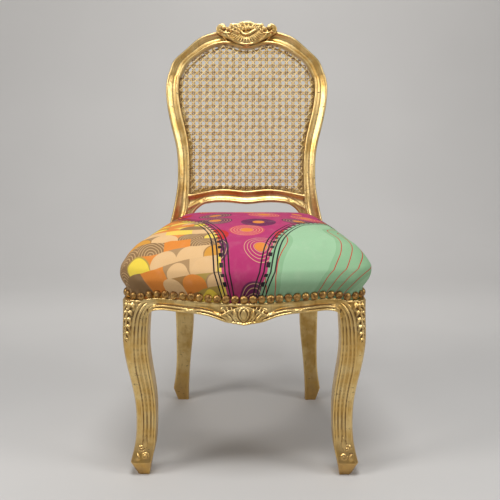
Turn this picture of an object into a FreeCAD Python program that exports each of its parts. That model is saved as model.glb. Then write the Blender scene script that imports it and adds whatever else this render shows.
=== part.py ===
import FreeCAD, Part
import math
import os

# A gilded side chair in the French rococo taste: two cabriole front legs, two posts that are rear leg
# and back stile in one, four seat rails, an arched crest rail and a shaped cross rail round a woven
# cane back, and a domed upholstered seat held by a row of dome nails.
#
# Frame of reference: millimetres, +Z up, the chair faces -Y, and +X is to the right of a viewer who
# stands in front of it. "Left" and "right" in the names are that viewer's. While the pieces are made,
# y = 0 is the line through the centres of the front feet. At the end everything is moved along y, so
# that the origin is the middle of the chair's footprint on the floor.

# Seat frame, seen from above
front_rail_forward = 31.0
seat_frame_depth = 449.0
seat_front_half_width = 232.0
seat_back_half_width = 182.0
front_bow = 33.0
side_bow = 5.0
front_corner_radius = 44.0

# Seat frame: height, depths below the top, and thicknesses
rail_top = 415.0
rebate_depth = 48.0
rail_thickness = 28.0
back_rail_thickness = 28.0
rail_proud = 2.5
front_rail_depth = 64.0
front_rail_drop = 21.0
front_band_height = 10.0
front_band_relief = 3.0
palmette_half_width = 46.0
palmette_height = 34.0
palmette_relief = 6.0
side_rail_depth = 70.0
side_rail_arch = 12.0
back_rail_depth = 62.0

# Front legs
front_foot_inset = 27.6
knee_width = 52.5
knee_sweep = 10.7
front_leg_corner_radius = 15.0
front_leg_edge_radius = 4.0

# Rear posts, from the foot to the seat
post_inset = 21.0
rear_foot_inset = 0.8
rear_foot_sweep = 43.0
post_width = 46.0
post_depth = 34.0
post_bow = 9.0
post_edge_radius = 4.0

# Back frame, measured along the raked front plane of the back
back_base_rise = 25.0
back_rake = 10.0
back_overhang = 32.0
back_height = 477.0
back_depth = 26.0
cross_rail_width = 31.0
shell_half_width = 68.0
shell_rise = 14.0
shell_drop = 46.0
shell_relief = 6.0

# Mortise and tenon joints
joint_clearance = 0.2
shoulder_flat = 1.5
seat_tenon_length = 21.0
seat_tenon_thickness = 9.0
seat_tenon_height = 40.0
seat_tenon_inset = 9.0
back_tenon_length = 18.0
back_tenon_thickness = 9.0
back_tenon_width = 13.0
peg_diameter = 7.0
peg_skin = 5.0

# Corner blocks and their screws
corner_block_reach = 58.0
corner_block_height = 36.0
corner_block_drop = 6.0
glue_gap = 0.3
screw_diameter = 4.0
screw_length = 33.0
screw_head_diameter = 8.0
screw_head_height = 2.6

# Woven cane
ledge_width = 9.0
ledge_depth = 7.5
ledge_thickness = 16.0
ledge_lap = 3.0
ledge_corner_step = 1.0
cane_edge_gap = 2.2
cane_thickness = 1.6
cane_pitch = 16.6
cane_hole = 11.2
cane_border = 1.5
binder_inset = 2.5
binder_width = 4.0
binder_thickness = 1.0

# Webbing and its tacks
strap_width = 50.0
strap_thickness = 1.6
strap_gap = 0.3
strap_end_inset = 6.0
lengthwise_strap_spacing = 70.0
strap_count = 4
tack_head_diameter = 8.0
tack_head_height = 1.0
tack_spacing = 17.0
tacks_per_end = 3

# Upholstery layers
platform_thickness = 1.2
platform_gap = 1.2
foam_gap = 0.4
wadding_thickness = 6.0
cover_thickness = 1.3
layer_gap = 0.35
cover_fit = 0.5
skirt_drop = 22.0
cushion_bulge = 14.5
crown_rise = 83.0
post_fit = 2.2

# Dome nails
nail_head_diameter = 14.6
nail_head_height = 5.0
nail_pitch = 17.2
nail_line_drop = 40.5
nail_line_lift = 8.0
nail_seat_gap = 0.3

# One overrun for every tool that cuts right through a piece
cut_overrun = 20.0

# Front leg stations from the floor up: height as a share of rail_top, outward sweep as a share of
# knee_sweep, width as a share of knee_width. The first two are the chamfered sole.
front_leg_shares = (
    (0.0, 0.0, 0.45),
    (0.0675, 0.43, 0.805),
    (0.1157, -0.05, 0.8),
    (0.188, -0.5, 0.787),
    (0.253, -0.63, 0.781),
    (0.3253, -0.65, 0.8),
    (0.4169, -0.39, 0.842),
    (0.506, 0.11, 0.886),
    (0.5855, 0.57, 0.92),
    (0.6675, 0.84, 0.952),
    (0.747, 0.79, 0.981),
    (0.8675, 0.62, 1.0),
    (1.0, 0.59, 1.0),
)

# Rear leg stations: height as a share of rail_top, bow to the middle as a share of post_bow, width as
# a share of post_width, sweep as a share of the way from the foot to the post, depth as a share of
# post_depth. The first two are the chamfered sole.
rear_leg_shares = (
    (0.0, 0.0, 0.58, 0.0, 0.76),
    (0.0723, -0.6, 0.82, -0.09, 1.0),
    (0.1446, -0.2, 0.75, 0.02, 0.92),
    (0.253, 0.25, 0.74, 0.17, 0.92),
    (0.3855, 0.7, 0.84, 0.42, 0.96),
    (0.5711, 1.0, 0.95, 0.75, 1.02),
    (0.7229, 0.65, 0.98, 0.93, 1.04),
    (0.8482, 0.2, 1.0, 1.0, 1.0),
    (1.0, 0.0, 1.0, 1.0, 1.0),
)

# Outer edge of the back: x as a share of back_half_width, height as a share of back_height. The last
# point of the stile is the first one of the crest rail.
stile_outer_shares = (
    (0.949, -0.012),
    (0.939, 0.052),
    (0.907, 0.105),
    (0.881, 0.157),
    (0.858, 0.22),
    (0.851, 0.28),
    (0.858, 0.367),
    (0.884, 0.434),
    (0.939, 0.522),
    (0.992, 0.637),
    (1.0, 0.709),
    (0.974, 0.771),
)
crest_outer_shares = (
    (0.974, 0.771),
    (0.884, 0.834),
    (0.7, 0.909),
    (0.482, 0.963),
    (0.275, 0.99),
    (0.15, 0.997),
    (0.0, 1.0),
)

# Inner edge of the moulding, point for point with the outer edge
stile_inner_shares = (
    (0.781, -0.012),
    (0.762, 0.052),
    (0.722, 0.1),
    (0.712, 0.145),
    (0.707, 0.2),
    (0.705, 0.28),
    (0.713, 0.385),
    (0.744, 0.472),
    (0.799, 0.565),
    (0.842, 0.667),
    (0.842, 0.718),
    (0.8264, 0.7547),
)
crest_inner_shares = (
    (0.8264, 0.7547),
    (0.751, 0.809),
    (0.611, 0.862),
    (0.435, 0.903),
    (0.254, 0.92),
    (0.145, 0.91),
    (0.0, 0.899),
)

# The stile's inner edge bounds the cane from the station with this number upwards
first_cane_station = 4

# Cross rail: its level as a share of the way up the back, its half length as a share of
# back_half_width, then x as a share of that length, and the upper and lower edge above and below the
# level as shares of cross_rail_width
cross_rail_level_share = 0.1635
cross_rail_shoulder_share = 0.7202
cross_rail_shares = (
    (1.0, 0.21, -1.0),
    (0.86, 0.306, -0.677),
    (0.66, 0.484, -0.45),
    (0.35, 0.613, -0.374),
    (0.0, 0.484, -0.51),
)

# Moulding across the frame, from the cane side to the outside: shares of the local width and of
# back_depth behind the front plane. Beads and coves are arcs: middle point, then end point.
bead_start_shares = (0.0, 0.12)
inner_bead_shares = ((0.1, 0.01), (0.22, 0.1))
cove_shares = ((0.46, 0.23), (0.7, 0.12))
groove_shares = (0.74, 0.15)
outer_bead_shares = ((0.87, 0.0), (1.0, 0.16))

# Carved shell on the crest, right half: x as a share of shell_half_width, height as a share of
# shell_drop below the crest's outer edge or of shell_rise above it
shell_top_shares = (
    (0.0, 1.0),
    (0.16, 0.95),
    (0.3, 0.6),
    (0.45, 0.66),
    (0.6, 0.55),
    (0.7, 0.0),
    (0.78, 0.5),
    (0.92, 0.52),
    (1.0, -0.35),
)
shell_side_share = 0.4
shell_low_shares = ((0.55, 0.66), (0.0, 0.98))

# Lower edge of the front rail: x as a share of the rail's half length, drop as a share of
# front_rail_drop below front_rail_bottom
front_edge_shares = (
    (1.0, 0.5),
    (0.93, 0.12),
    (0.84, 0.0),
    (0.71, 0.07),
    (0.52, 0.17),
    (0.33, 0.43),
    (0.18, 0.9),
    (0.0, 1.0),
)

# Line of the front nails: x as a share of seat_front_half_width, lift as a share of nail_line_lift
nail_line_shares = (
    (0.0, 0.25),
    (0.15, 0.3),
    (0.42, 0.62),
    (0.57, 0.75),
    (0.68, 1.0),
    (0.78, 0.62),
    (0.86, 0.0),
    (0.93, 0.1),
    (1.1, 0.35),
)

# Upholstery stations above the skirt: height as a share of the way from the skirt to the widest
# level, growth beyond the seat frame as a share of cushion_bulge
swell_shares = (
    (0.0, 0.0),
    (0.22, 0.33),
    (0.45, 0.62),
    (0.7, 0.87),
    (0.88, 0.98),
    (1.0, 1.0),
)

# Crown stations: size as a share of the widest outline, height as a share of the way to the crown
crown_shares = (
    (0.985, 0.104),
    (0.95, 0.289),
    (0.88, 0.51),
    (0.76, 0.69),
    (0.6, 0.821),
    (0.42, 0.918),
    (0.25, 0.974),
    (0.11, 0.997),
)

# Share of the bulge that the back of the seat keeps, where the cover runs straight down the back rail
back_bulge_share = 0.35

# Widest level of the seat as a share of the crown's rise, and the crown's place and the spacing of
# the crosswise straps as shares of the seat frame's depth
widest_level_share = 0.2
crown_place_share = 0.47
crosswise_strap_share = 0.187

# Half of a size, and how far a corner of radius one reaches along each axis at 45 degrees
half = 0.5
diagonal = math.sqrt(half)

# Heights that follow from the sizes above
rebate_height = rail_top - rebate_depth
front_rail_bottom = rail_top - front_rail_depth
side_rail_bottom = rail_top - side_rail_depth
back_rail_bottom = rail_top - back_rail_depth
skirt_top = rail_top - skirt_drop
nail_line_height = rail_top - nail_line_drop
crown_height = rail_top + crown_rise
cushion_widest = rail_top + crown_rise * widest_level_share
back_base_height = rail_top + back_base_rise
cross_rail_level = back_base_height + back_height * cross_rail_level_share

# Places that follow from the sizes above
front_foot_half_spread = seat_front_half_width - front_foot_inset
post_half_spread = seat_back_half_width - post_inset
rear_foot_half_spread = post_half_spread - rear_foot_inset
back_half_width = post_half_spread + back_overhang
cross_rail_shoulder = back_half_width * cross_rail_shoulder_share
front_end_y = -front_rail_forward
front_middle_y = front_end_y - front_bow
corner_start_x = seat_front_half_width - front_corner_radius
corner_end_y = front_end_y + front_corner_radius
seat_back_y = front_end_y + seat_frame_depth
front_arc_radius = (corner_start_x ** 2 + front_bow ** 2) * half / front_bow
front_arc_y = front_middle_y + front_arc_radius
leg_top_x = front_foot_half_spread + knee_sweep * front_leg_shares[-1][1]
leg_top_y = -knee_sweep * front_leg_shares[-1][1]
front_shoulder_x = leg_top_x - knee_width * half + shoulder_flat
side_shoulder_y = leg_top_y + knee_width * half - shoulder_flat
post_front_y = seat_back_y - back_rail_thickness
post_centre_y = post_front_y + post_depth * half
rear_foot_y = post_centre_y + rear_foot_sweep
crown_y = front_end_y + seat_frame_depth * crown_place_share
crosswise_strap_spacing = seat_frame_depth * crosswise_strap_share
post_shoulder_y = post_front_y + shoulder_flat
post_shoulder_x = post_half_spread - post_width * half + shoulder_flat
tenon_low = (rebate_height + rail_top - seat_tenon_height) * half
tenon_high = tenon_low + seat_tenon_height

right = FreeCAD.Vector(1, 0, 0)
backward = FreeCAD.Vector(0, 1, 0)
upward = FreeCAD.Vector(0, 0, 1)
rake = math.radians(back_rake)
up_the_back = FreeCAD.Vector(0, math.sin(rake), math.cos(rake))
into_the_back = FreeCAD.Vector(0, math.cos(rake), -math.sin(rake))
back_origin = FreeCAD.Vector(0, post_front_y, back_base_height)


# Small building blocks

def vector(x, y, z):
    return FreeCAD.Vector(x, y, z)


def line(start, end):
    return Part.LineSegment(start, end).toShape()


def arc(start, middle, end):
    return Part.Arc(start, middle, end).toShape()


def spline(points):
    curve = Part.BSplineCurve()
    curve.interpolate(points)
    return curve.toShape()


def polygon_face(points):
    return Part.Face(Part.makePolygon(list(points) + [points[0]]))


def box(x_range, y_range, z_range):
    corner = vector(x_range[0], y_range[0], z_range[0])
    return Part.makeBox(x_range[1] - x_range[0], y_range[1] - y_range[0], z_range[1] - z_range[0], corner)


def rod(start, end, diameter):
    way = end - start
    return Part.makeCylinder(diameter * half, way.Length, start, way)


def turned_box(centre, along, along_range, across, across_size, through, through_range):
    near = centre + through * through_range[0]
    side = across * (across_size * half)
    low = along * along_range[0]
    high = along * along_range[1]
    face = polygon_face([near - side + low, near + side + low, near + side + high, near - side + high])
    return face.extrude(through * (through_range[1] - through_range[0]))


def mirrored(shape):
    return shape.mirror(vector(0, 0, 0), right)


def one_solid(shape):
    solids = shape.Solids
    return max(solids, key=lambda solid: solid.Volume)


def step_value(table, place):
    """Value at a place between the rows of a table of (place, value), along straight lines."""
    for (low, low_value), (high, high_value) in zip(table, table[1:]):
        if place <= high:
            return low_value + (high_value - low_value) * (place - low) / (high - low)
    return table[-1][1]


def rounded_section(centre, width, depth, height, edge, outer_front):
    """Horizontal section with straight sides and four rounded corners, the outer front one wider."""
    corners = ((1, -1, outer_front), (1, 1, edge), (-1, 1, edge), (-1, -1, edge))
    arcs = []
    for number, (side_x_sign, side_y_sign, radius) in enumerate(corners):
        middle_x = centre.x + side_x_sign * (width * half - radius)
        middle_y = centre.y + side_y_sign * (depth * half - radius)
        first = (number - 1) * math.pi * half
        turn = [first, first + math.pi * half * half, first + math.pi * half]
        arcs.append([vector(middle_x + radius * math.cos(angle), middle_y + radius * math.sin(angle), height)
                     for angle in turn])
    edges = []
    for number, points in enumerate(arcs):
        edges.append(arc(*points))
        edges.append(line(points[-1], arcs[(number + 1) % len(arcs)][0]))
    return Part.Wire(edges)


# The back's own plane

def on_back(x, height):
    return back_origin + right * x + up_the_back * ((height - back_base_height) / math.cos(rake))


def back_point(share_pair):
    return on_back(share_pair[0] * back_half_width, back_base_height + share_pair[1] * back_height)


def moulded_section(inner, outer):
    """Section of the back frame between its inner and its outer edge on the front plane."""
    across = outer - inner

    def place(width_share, depth_share):
        return inner + across * width_share + into_the_back * (back_depth * depth_share)

    start = place(*bead_start_shares)
    edges = [line(place(0, 1), start)]
    for middle, end in (inner_bead_shares, cove_shares):
        edges.append(arc(start, place(*middle), place(*end)))
        start = place(*end)
    edges.append(line(start, place(*groove_shares)))
    start = place(*groove_shares)
    middle, end = outer_bead_shares
    edges.append(arc(start, place(*middle), place(*end)))
    edges.append(line(place(*end), place(1, 1)))
    edges.append(line(place(1, 1), place(0, 1)))
    return Part.Wire(edges)


def cross_rail_point(row, column):
    x = cross_rail_shoulder * row[0]
    return x, cross_rail_level + cross_rail_width * row[column]


def opening_points():
    """Corner of the cane opening, the points along its foot, and those round its sides and top."""
    foot = [cross_rail_point(row, 1) for row in cross_rail_shares]
    foot = foot + [(-x, z) for x, z in reversed(foot[:-1])]
    rise = [(x * back_half_width, back_base_height + z * back_height)
            for x, z in stile_inner_shares[first_cane_station:] + crest_inner_shares[1:]]
    rise = [foot[0]] + rise + [(-x, z) for x, z in reversed(rise[:-1])] + [foot[-1]]
    return foot, rise


def inset_points(points, inset, side):
    """Points moved sideways by the inset, square to the line through their neighbours."""
    moved = []
    for before, (x, z), after in zip(points, points[1:], points[2:]):
        along_x = after[0] - before[0]
        along_z = after[1] - before[1]
        length = math.hypot(along_x, along_z)
        moved.append((x - side * inset * along_z / length, z + side * inset * along_x / length))
    return moved


def opening_wire(inset, depth):
    """Outline of the cane opening, drawn in by an inset, on a plane at a depth behind the front."""
    foot, rise = opening_points()
    first = (foot[0][0] - inset, foot[0][1] + inset)
    last = (foot[-1][0] + inset, foot[-1][1] + inset)
    shift = into_the_back * depth
    foot = [first] + inset_points(foot, inset, -1) + [last]
    rise = [first] + inset_points(rise, inset, 1) + [last]
    foot = [on_back(x, z) + shift for x, z in foot]
    rise = [on_back(x, z) + shift for x, z in rise]
    return Part.Wire([spline(foot), spline(list(reversed(rise)))])


def back_prism(points, depth, thickness):
    """Straight-sided piece that stands square to the back's plane."""
    shift = into_the_back * depth
    face = polygon_face([on_back(x, z) + shift for x, z in points])
    return face.extrude(into_the_back * thickness)


def ring(outer_inset, inner_inset, depth, thickness):
    outer = Part.Face(opening_wire(outer_inset, depth)).extrude(into_the_back * thickness)
    near = depth - cut_overrun
    through = thickness + cut_overrun * 2
    inner = Part.Face(opening_wire(inner_inset, near)).extrude(into_the_back * through)
    return outer.cut(inner)


# The seat frame seen from above

def front_y(x, grow=0.0):
    radius = front_arc_radius + grow
    return front_arc_y - math.sqrt(radius ** 2 - x ** 2)


def side_x(y):
    share = (y - corner_end_y) / (seat_back_y - corner_end_y)
    chord = seat_front_half_width + (seat_back_half_width - seat_front_half_width) * share
    return chord + side_bow * share * (1 - share) / (half * half)


def side_inner_x(y):
    share = (y - corner_end_y) / (seat_back_y - corner_end_y)
    chord = seat_front_half_width + (seat_back_half_width - seat_front_half_width) * share
    return chord - rail_thickness


def plan_wire(height, grow, scale, bulge=0.0):
    """Outline of the seat, grown and bulged outwards and then drawn in towards the crown by a scale."""
    stretch_x = scale * (seat_front_half_width + grow + bulge) / seat_front_half_width
    reach = seat_frame_depth * half
    stretch_front = scale * (reach + grow + bulge) / reach
    stretch_back = scale * (reach + grow + bulge * back_bulge_share) / reach

    def place(x, y):
        stretch_y = stretch_front if y < crown_y else stretch_back
        return vector(x * stretch_x, crown_y + (y - crown_y) * stretch_y, height)

    bend = front_corner_radius * diagonal
    middle_y = (corner_end_y + seat_back_y) * half
    corner_x = corner_start_x + bend
    corner_y = corner_end_y - bend
    edges = [
        arc(place(-corner_start_x, front_end_y), place(0, front_middle_y),
            place(corner_start_x, front_end_y)),
        arc(place(corner_start_x, front_end_y), place(corner_x, corner_y),
            place(seat_front_half_width, corner_end_y)),
        arc(place(seat_front_half_width, corner_end_y), place(side_x(middle_y), middle_y),
            place(seat_back_half_width, seat_back_y)),
        line(place(seat_back_half_width, seat_back_y), place(-seat_back_half_width, seat_back_y)),
        arc(place(-seat_back_half_width, seat_back_y), place(-side_x(middle_y), middle_y),
            place(-seat_front_half_width, corner_end_y)),
        arc(place(-seat_front_half_width, corner_end_y), place(-corner_x, corner_y),
            place(-corner_start_x, front_end_y)),
    ]
    return Part.Wire(edges)


def outside_the_seat():
    """Everything beyond the seat frame's faces above the rebate, which the cover takes the place of."""
    reach = seat_front_half_width + cut_overrun * 2
    depth_range = (front_middle_y - cut_overrun * 2, seat_back_y + cut_overrun * 2)
    around = box((-reach, reach), depth_range, (rebate_height, rail_top + cut_overrun))
    inside = Part.Face(plan_wire(rebate_height - cut_overrun, 0, 1))
    inside = inside.extrude(upward * (rail_top - rebate_height + cut_overrun * 3))
    return around.cut(inside)


def front_edge(lift):
    """Lower edge of the front rail as points across the whole rail."""
    points = []
    for x_share, drop_share in front_edge_shares:
        height = front_rail_bottom - front_rail_drop * drop_share + lift
        points.append((front_shoulder_x * x_share, height))
    return [(-x, z) for x, z in points] + [(x, z) for x, z in reversed(points[:-1])]


def under_front_edge(lift, bottom):
    """Upright prism through the rail, from a level up to its lower edge lifted by an amount."""
    near = front_middle_y - cut_overrun
    points = [vector(x, near, z) for x, z in front_edge(lift)]
    low_right = vector(points[-1].x, near, bottom)
    low_left = vector(points[0].x, near, bottom)
    outline = [
        spline(points),
        line(points[-1], low_right),
        line(low_right, low_left),
        line(low_left, points[0]),
    ]
    depth = front_bow + rail_thickness + cut_overrun * 3
    return Part.Face(Part.Wire(outline)).extrude(backward * depth)


def front_strip(outer_grow, inner_grow, bottom, top):
    """Bowed board between two circles round the same centre, as long as the front rail."""
    x = front_shoulder_x
    outer_end = front_y(x, outer_grow)
    inner_end = front_y(x, inner_grow)
    outline = [
        arc(vector(-x, outer_end, bottom), vector(0, front_y(0, outer_grow), bottom),
            vector(x, outer_end, bottom)),
        line(vector(x, outer_end, bottom), vector(x, inner_end, bottom)),
        arc(vector(x, inner_end, bottom), vector(0, front_y(0, inner_grow), bottom),
            vector(-x, inner_end, bottom)),
        line(vector(-x, inner_end, bottom), vector(-x, outer_end, bottom)),
    ]
    return Part.Face(Part.Wire(outline)).extrude(upward * (top - bottom))


# Tenons: each function gives the tenon, or with a clearance the room for it

def front_tenon(clear):
    y = (front_y(front_shoulder_x) + front_y(front_shoulder_x, -rail_thickness)) * half
    reach = (seat_tenon_thickness + clear * 2) * half
    x_range = (front_shoulder_x - clear, front_shoulder_x + seat_tenon_length + clear)
    return box(x_range, (y - reach, y + reach), (tenon_low - clear, tenon_high + clear))


def side_front_tenon(clear):
    x = side_x(side_shoulder_y) - seat_tenon_inset - seat_tenon_thickness * half
    reach = (seat_tenon_thickness + clear * 2) * half
    length = side_shoulder_y - front_y(front_shoulder_x, -rail_thickness) - shoulder_flat
    y_range = (side_shoulder_y - length - clear, side_shoulder_y + clear)
    return box((x - reach, x + reach), y_range, (tenon_low - clear, tenon_high + clear))


def side_rear_tenon(clear):
    x = side_inner_x(post_shoulder_y) + rail_thickness * half + seat_tenon_thickness * half
    reach = (seat_tenon_thickness + clear * 2) * half
    y_range = (post_shoulder_y - clear, post_shoulder_y + seat_tenon_length + clear)
    return box((x - reach, x + reach), y_range, (tenon_low - clear, tenon_high + clear))


def back_rail_y_range():
    return post_front_y, seat_back_y


def back_tenon(clear):
    low, high = back_rail_y_range()
    y = (low + high) * half
    reach = (seat_tenon_thickness + clear * 2) * half
    x_range = (post_shoulder_x - clear, post_shoulder_x + seat_tenon_length + clear)
    return box(x_range, (y - reach, y + reach), (tenon_low - clear, tenon_high + clear))


def crest_joint():
    inner = back_point(stile_inner_shares[-1])
    outer = back_point(stile_outer_shares[-1])
    across = outer - inner
    across.normalize()
    along = into_the_back.cross(across)
    if along.z < 0:
        along = along * -1
    return (inner + outer) * half, across, along


def crest_tenon(clear):
    centre, across, along = crest_joint()
    middle = back_depth * (half + inner_bead_shares[1][1])
    reach = (back_tenon_thickness + clear * 2) * half
    along_range = (-clear, back_tenon_length + clear)
    width = back_tenon_width + clear * 2
    depth_range = (middle - reach, middle + reach)
    return turned_box(centre, along, along_range, across, width, into_the_back, depth_range)


def cross_tenon(clear):
    upper = cross_rail_point(cross_rail_shares[0], 1)[1]
    lower = cross_rail_point(cross_rail_shares[0], 2)[1]
    centre = on_back(cross_rail_shoulder, (upper + lower) * half)
    middle = back_depth * (half + inner_bead_shares[1][1])
    reach = (back_tenon_thickness + clear * 2) * half
    along_range = (-clear, back_tenon_length + clear)
    width = back_tenon_width + clear * 2
    depth_range = (middle - reach, middle + reach)
    return turned_box(centre, right, along_range, up_the_back, width, into_the_back, depth_range)


# Pegs through the joints, blind from the hidden side

def seat_pegs(diameter):
    """Pegs of the right half of the seat frame: front rail, side rail and back rail tenon."""
    low = tenon_low + seat_tenon_height * half * half
    high = tenon_high - seat_tenon_height * half * half
    leg_rear = leg_top_y + knee_width * half - peg_skin * half
    leg_inner = leg_top_x - knee_width * half + peg_skin * half
    x = front_shoulder_x + seat_tenon_length * half
    front_inner = front_y(front_shoulder_x, -rail_thickness)
    y = (side_shoulder_y + front_inner) * half
    post_rear = post_front_y + post_depth - peg_skin * half
    back_x = post_shoulder_x + seat_tenon_length * half
    return [
        rod(vector(x, leg_rear, low), vector(x, front_y(x) + peg_skin, low), diameter),
        rod(vector(leg_inner, y, high), vector(side_x(side_shoulder_y) - peg_skin, y, high), diameter),
        rod(vector(back_x, post_rear, low), vector(back_x, post_front_y + peg_skin, low), diameter),
    ]


def back_pegs(diameter):
    """Two pegs of the right half of the back, driven from the rear face."""
    centre, across, along = crest_joint()
    upper = cross_rail_point(cross_rail_shares[0], 1)[1]
    lower = cross_rail_point(cross_rail_shares[0], 2)[1]
    places = (
        centre + along * (back_tenon_length * half),
        on_back(cross_rail_shoulder + back_tenon_length * half, (upper + lower) * half),
    )
    near = into_the_back * (back_depth * cove_shares[0][1] + peg_skin * half)
    far = into_the_back * back_depth
    return [rod(place + near, place + far, diameter) for place in places]


# Frame pieces, each for the right side of the chair

def front_leg(outside):
    sections = []
    for height_share, sweep_share, width_share in front_leg_shares:
        sweep = knee_sweep * sweep_share
        width = knee_width * width_share
        centre = vector(front_foot_half_spread + sweep, -sweep, 0)
        corner = front_leg_corner_radius * width_share
        edge = front_leg_edge_radius * width_share
        sections.append(rounded_section(centre, width, width, rail_top * height_share, edge, corner))
    sole = Part.makeLoft(sections[:2], True, True)
    leg = Part.makeLoft(sections[1:], True, False).fuse(sole)
    leg = leg.cut(outside)
    top = (tenon_low - cut_overrun * 2, rail_top + cut_overrun)
    front_low = front_rail_bottom - front_rail_drop * front_edge_shares[0][1] - joint_clearance
    inner = front_y(front_shoulder_x, -rail_thickness) + joint_clearance
    near = front_middle_y - cut_overrun
    front_room = box((0, front_shoulder_x), (near, side_shoulder_y), (front_low, top[1]))
    front_room = front_room.common(box((0, front_shoulder_x), (near, inner), top))
    side_range = (side_inner_x(side_shoulder_y) - joint_clearance, seat_front_half_width + cut_overrun)
    side_high = (side_rail_bottom - joint_clearance, top[1])
    side_room = box(side_range, (side_shoulder_y, side_shoulder_y + cut_overrun), side_high)
    rooms = [front_room, side_room, front_tenon(joint_clearance), side_front_tenon(joint_clearance)]
    rooms = rooms + seat_pegs(peg_diameter + joint_clearance * 2)[:2]
    return one_solid(leg.cut(rooms))


def rear_post():
    sections = []
    for height_share, bow_share, width_share, sweep_share, depth_share in rear_leg_shares:
        x = rear_foot_half_spread + (post_half_spread - rear_foot_half_spread) * height_share
        y = rear_foot_y + (post_centre_y - rear_foot_y) * sweep_share
        centre = vector(x - post_bow * bow_share, y, 0)
        width = post_width * width_share
        depth = post_depth * depth_share
        height = rail_top * height_share
        sections.append(rounded_section(centre, width, depth, height, post_edge_radius, post_edge_radius))
    inner = back_point(stile_inner_shares[0])
    outer = back_point(stile_outer_shares[0])
    centre = (inner + outer) * half + into_the_back * (back_depth * half)
    top_edge = post_edge_radius * half * half
    head = rounded_section(centre, (outer - inner).Length, back_depth, back_base_height, top_edge, top_edge)
    sole = Part.makeLoft(sections[:2], True, True)
    neck = Part.makeLoft([sections[-1], head], True, True)
    leg = Part.makeLoft(sections[1:], True, False).fuse([sole, neck])
    pairs = zip(stile_inner_shares, stile_outer_shares)
    stile = Part.makeLoft([moulded_section(back_point(a), back_point(b)) for a, b in pairs], True, False)
    post = leg.fuse([stile, crest_tenon(0)])
    side_range = (side_inner_x(post_shoulder_y) - joint_clearance, seat_back_half_width + cut_overrun)
    side_high = (side_rail_bottom - joint_clearance, rail_top)
    side_room = box(side_range, (post_front_y - cut_overrun, post_shoulder_y), side_high)
    low, high = back_rail_y_range()
    back_room = box((0, post_shoulder_x), (low - cut_overrun, high + joint_clearance),
                    (back_rail_bottom - joint_clearance, rail_top))
    upper = cross_rail_point(cross_rail_shares[0], 1)[1]
    lower = cross_rail_point(cross_rail_shares[0], 2)[1]
    shoulder_points = [
        (0, lower - joint_clearance),
        (cross_rail_shoulder, lower - joint_clearance),
        (cross_rail_shoulder, upper + ledge_corner_step),
        (0, upper + ledge_corner_step),
    ]
    cross_room = back_prism(shoulder_points, -cut_overrun, back_depth + cut_overrun * 2)
    rooms = [side_room, back_room, cross_room, side_rear_tenon(joint_clearance), back_tenon(joint_clearance)]
    rooms = rooms + [cross_tenon(joint_clearance)] + seat_pegs(peg_diameter + joint_clearance * 2)[2:]
    return post, rooms + back_pegs(peg_diameter + joint_clearance * 2)


def ledge_regions():
    """Parts of the back's plane that belong to the cross rail, the right stile and the crest rail."""
    inner_x, inner_z = [s * t for s, t in zip(stile_inner_shares[-1], (back_half_width, back_height))]
    outer_x, outer_z = [s * t for s, t in zip(stile_outer_shares[-1], (back_half_width, back_height))]
    slope = (outer_z - inner_z) / (outer_x - inner_x)
    middle_z = back_base_height + inner_z - slope * inner_x
    far = back_half_width + cut_overrun
    far_z = middle_z + slope * far
    shoulder, upper = cross_rail_point(cross_rail_shares[0], 1)
    step = upper + ledge_corner_step
    corner = (shoulder - ledge_lap - shoulder_flat, step)
    mitre_z = corner[1] + corner[0]
    low = back_base_height - cut_overrun
    high = back_base_height + back_height + cut_overrun
    cross_region = [(-shoulder, low), (shoulder, low), (shoulder, step), corner, (0, mitre_z),
                    (-corner[0], step), (-shoulder, step)]
    stile_region = [(0, mitre_z), corner, (shoulder, step), (shoulder, low), (far, low), (far, far_z),
                    (0, middle_z)]
    low_z = middle_z + joint_clearance
    far_low_z = far_z + joint_clearance
    crest_region = [(0, low_z), (far, far_low_z), (far, high), (-far, high), (-far, far_low_z)]
    return cross_region, stile_region, crest_region


def split_ledge():
    ledge = ring(-ledge_lap, ledge_width, ledge_depth, ledge_thickness)
    parts = []
    for region in ledge_regions():
        tool = back_prism(region, -cut_overrun, back_depth + cut_overrun * 2)
        parts.append(ledge.common(tool))
    return parts


def shell_carving():
    """Raised shell and leaf scrolls at the middle of the crest."""
    top = back_base_height + back_height
    depth = -shell_relief
    shift = into_the_back * depth

    def place(x_share, z_offset):
        return on_back(x_share * shell_half_width, top + z_offset) + shift

    upper = [(x, shell_rise * z if z >= 0 else shell_drop * z) for x, z in shell_top_shares]
    upper = [(-x, z) for x, z in reversed(upper[1:])] + upper
    edges = []
    for index in range(0, len(upper) - 1, 2):
        start, middle, end = upper[index:index + 3]
        edges.append(arc(place(*start), place(*middle), place(*end)))
    (side_x_share, side_share), (low_x_share, low_share) = shell_low_shares
    right_end = upper[-1]
    left_end = upper[0]
    low = (low_x_share, -shell_drop * low_share)
    edges.append(arc(place(*right_end), place(side_x_share, -shell_drop * side_share), place(*low)))
    edges.append(arc(place(*low), place(-side_x_share, -shell_drop * side_share), place(*left_end)))
    body = Part.Face(Part.Wire(edges))
    return body.extrude(into_the_back * (shell_relief + back_depth * shell_side_share * 2))


def crest_rail(ledge):
    pairs = list(zip(crest_inner_shares, crest_outer_shares))
    pairs = pairs + [((-a[0], a[1]), (-b[0], b[1])) for a, b in reversed(pairs[:-1])]
    body = Part.makeLoft([moulded_section(back_point(a), back_point(b)) for a, b in pairs], True, False)
    body = body.fuse([ledge, shell_carving()])
    peg = back_pegs(peg_diameter + joint_clearance * 2)[0]
    rooms = [crest_tenon(joint_clearance), peg]
    rooms = rooms + [mirrored(room) for room in rooms]
    return one_solid(body.cut(rooms))


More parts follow.
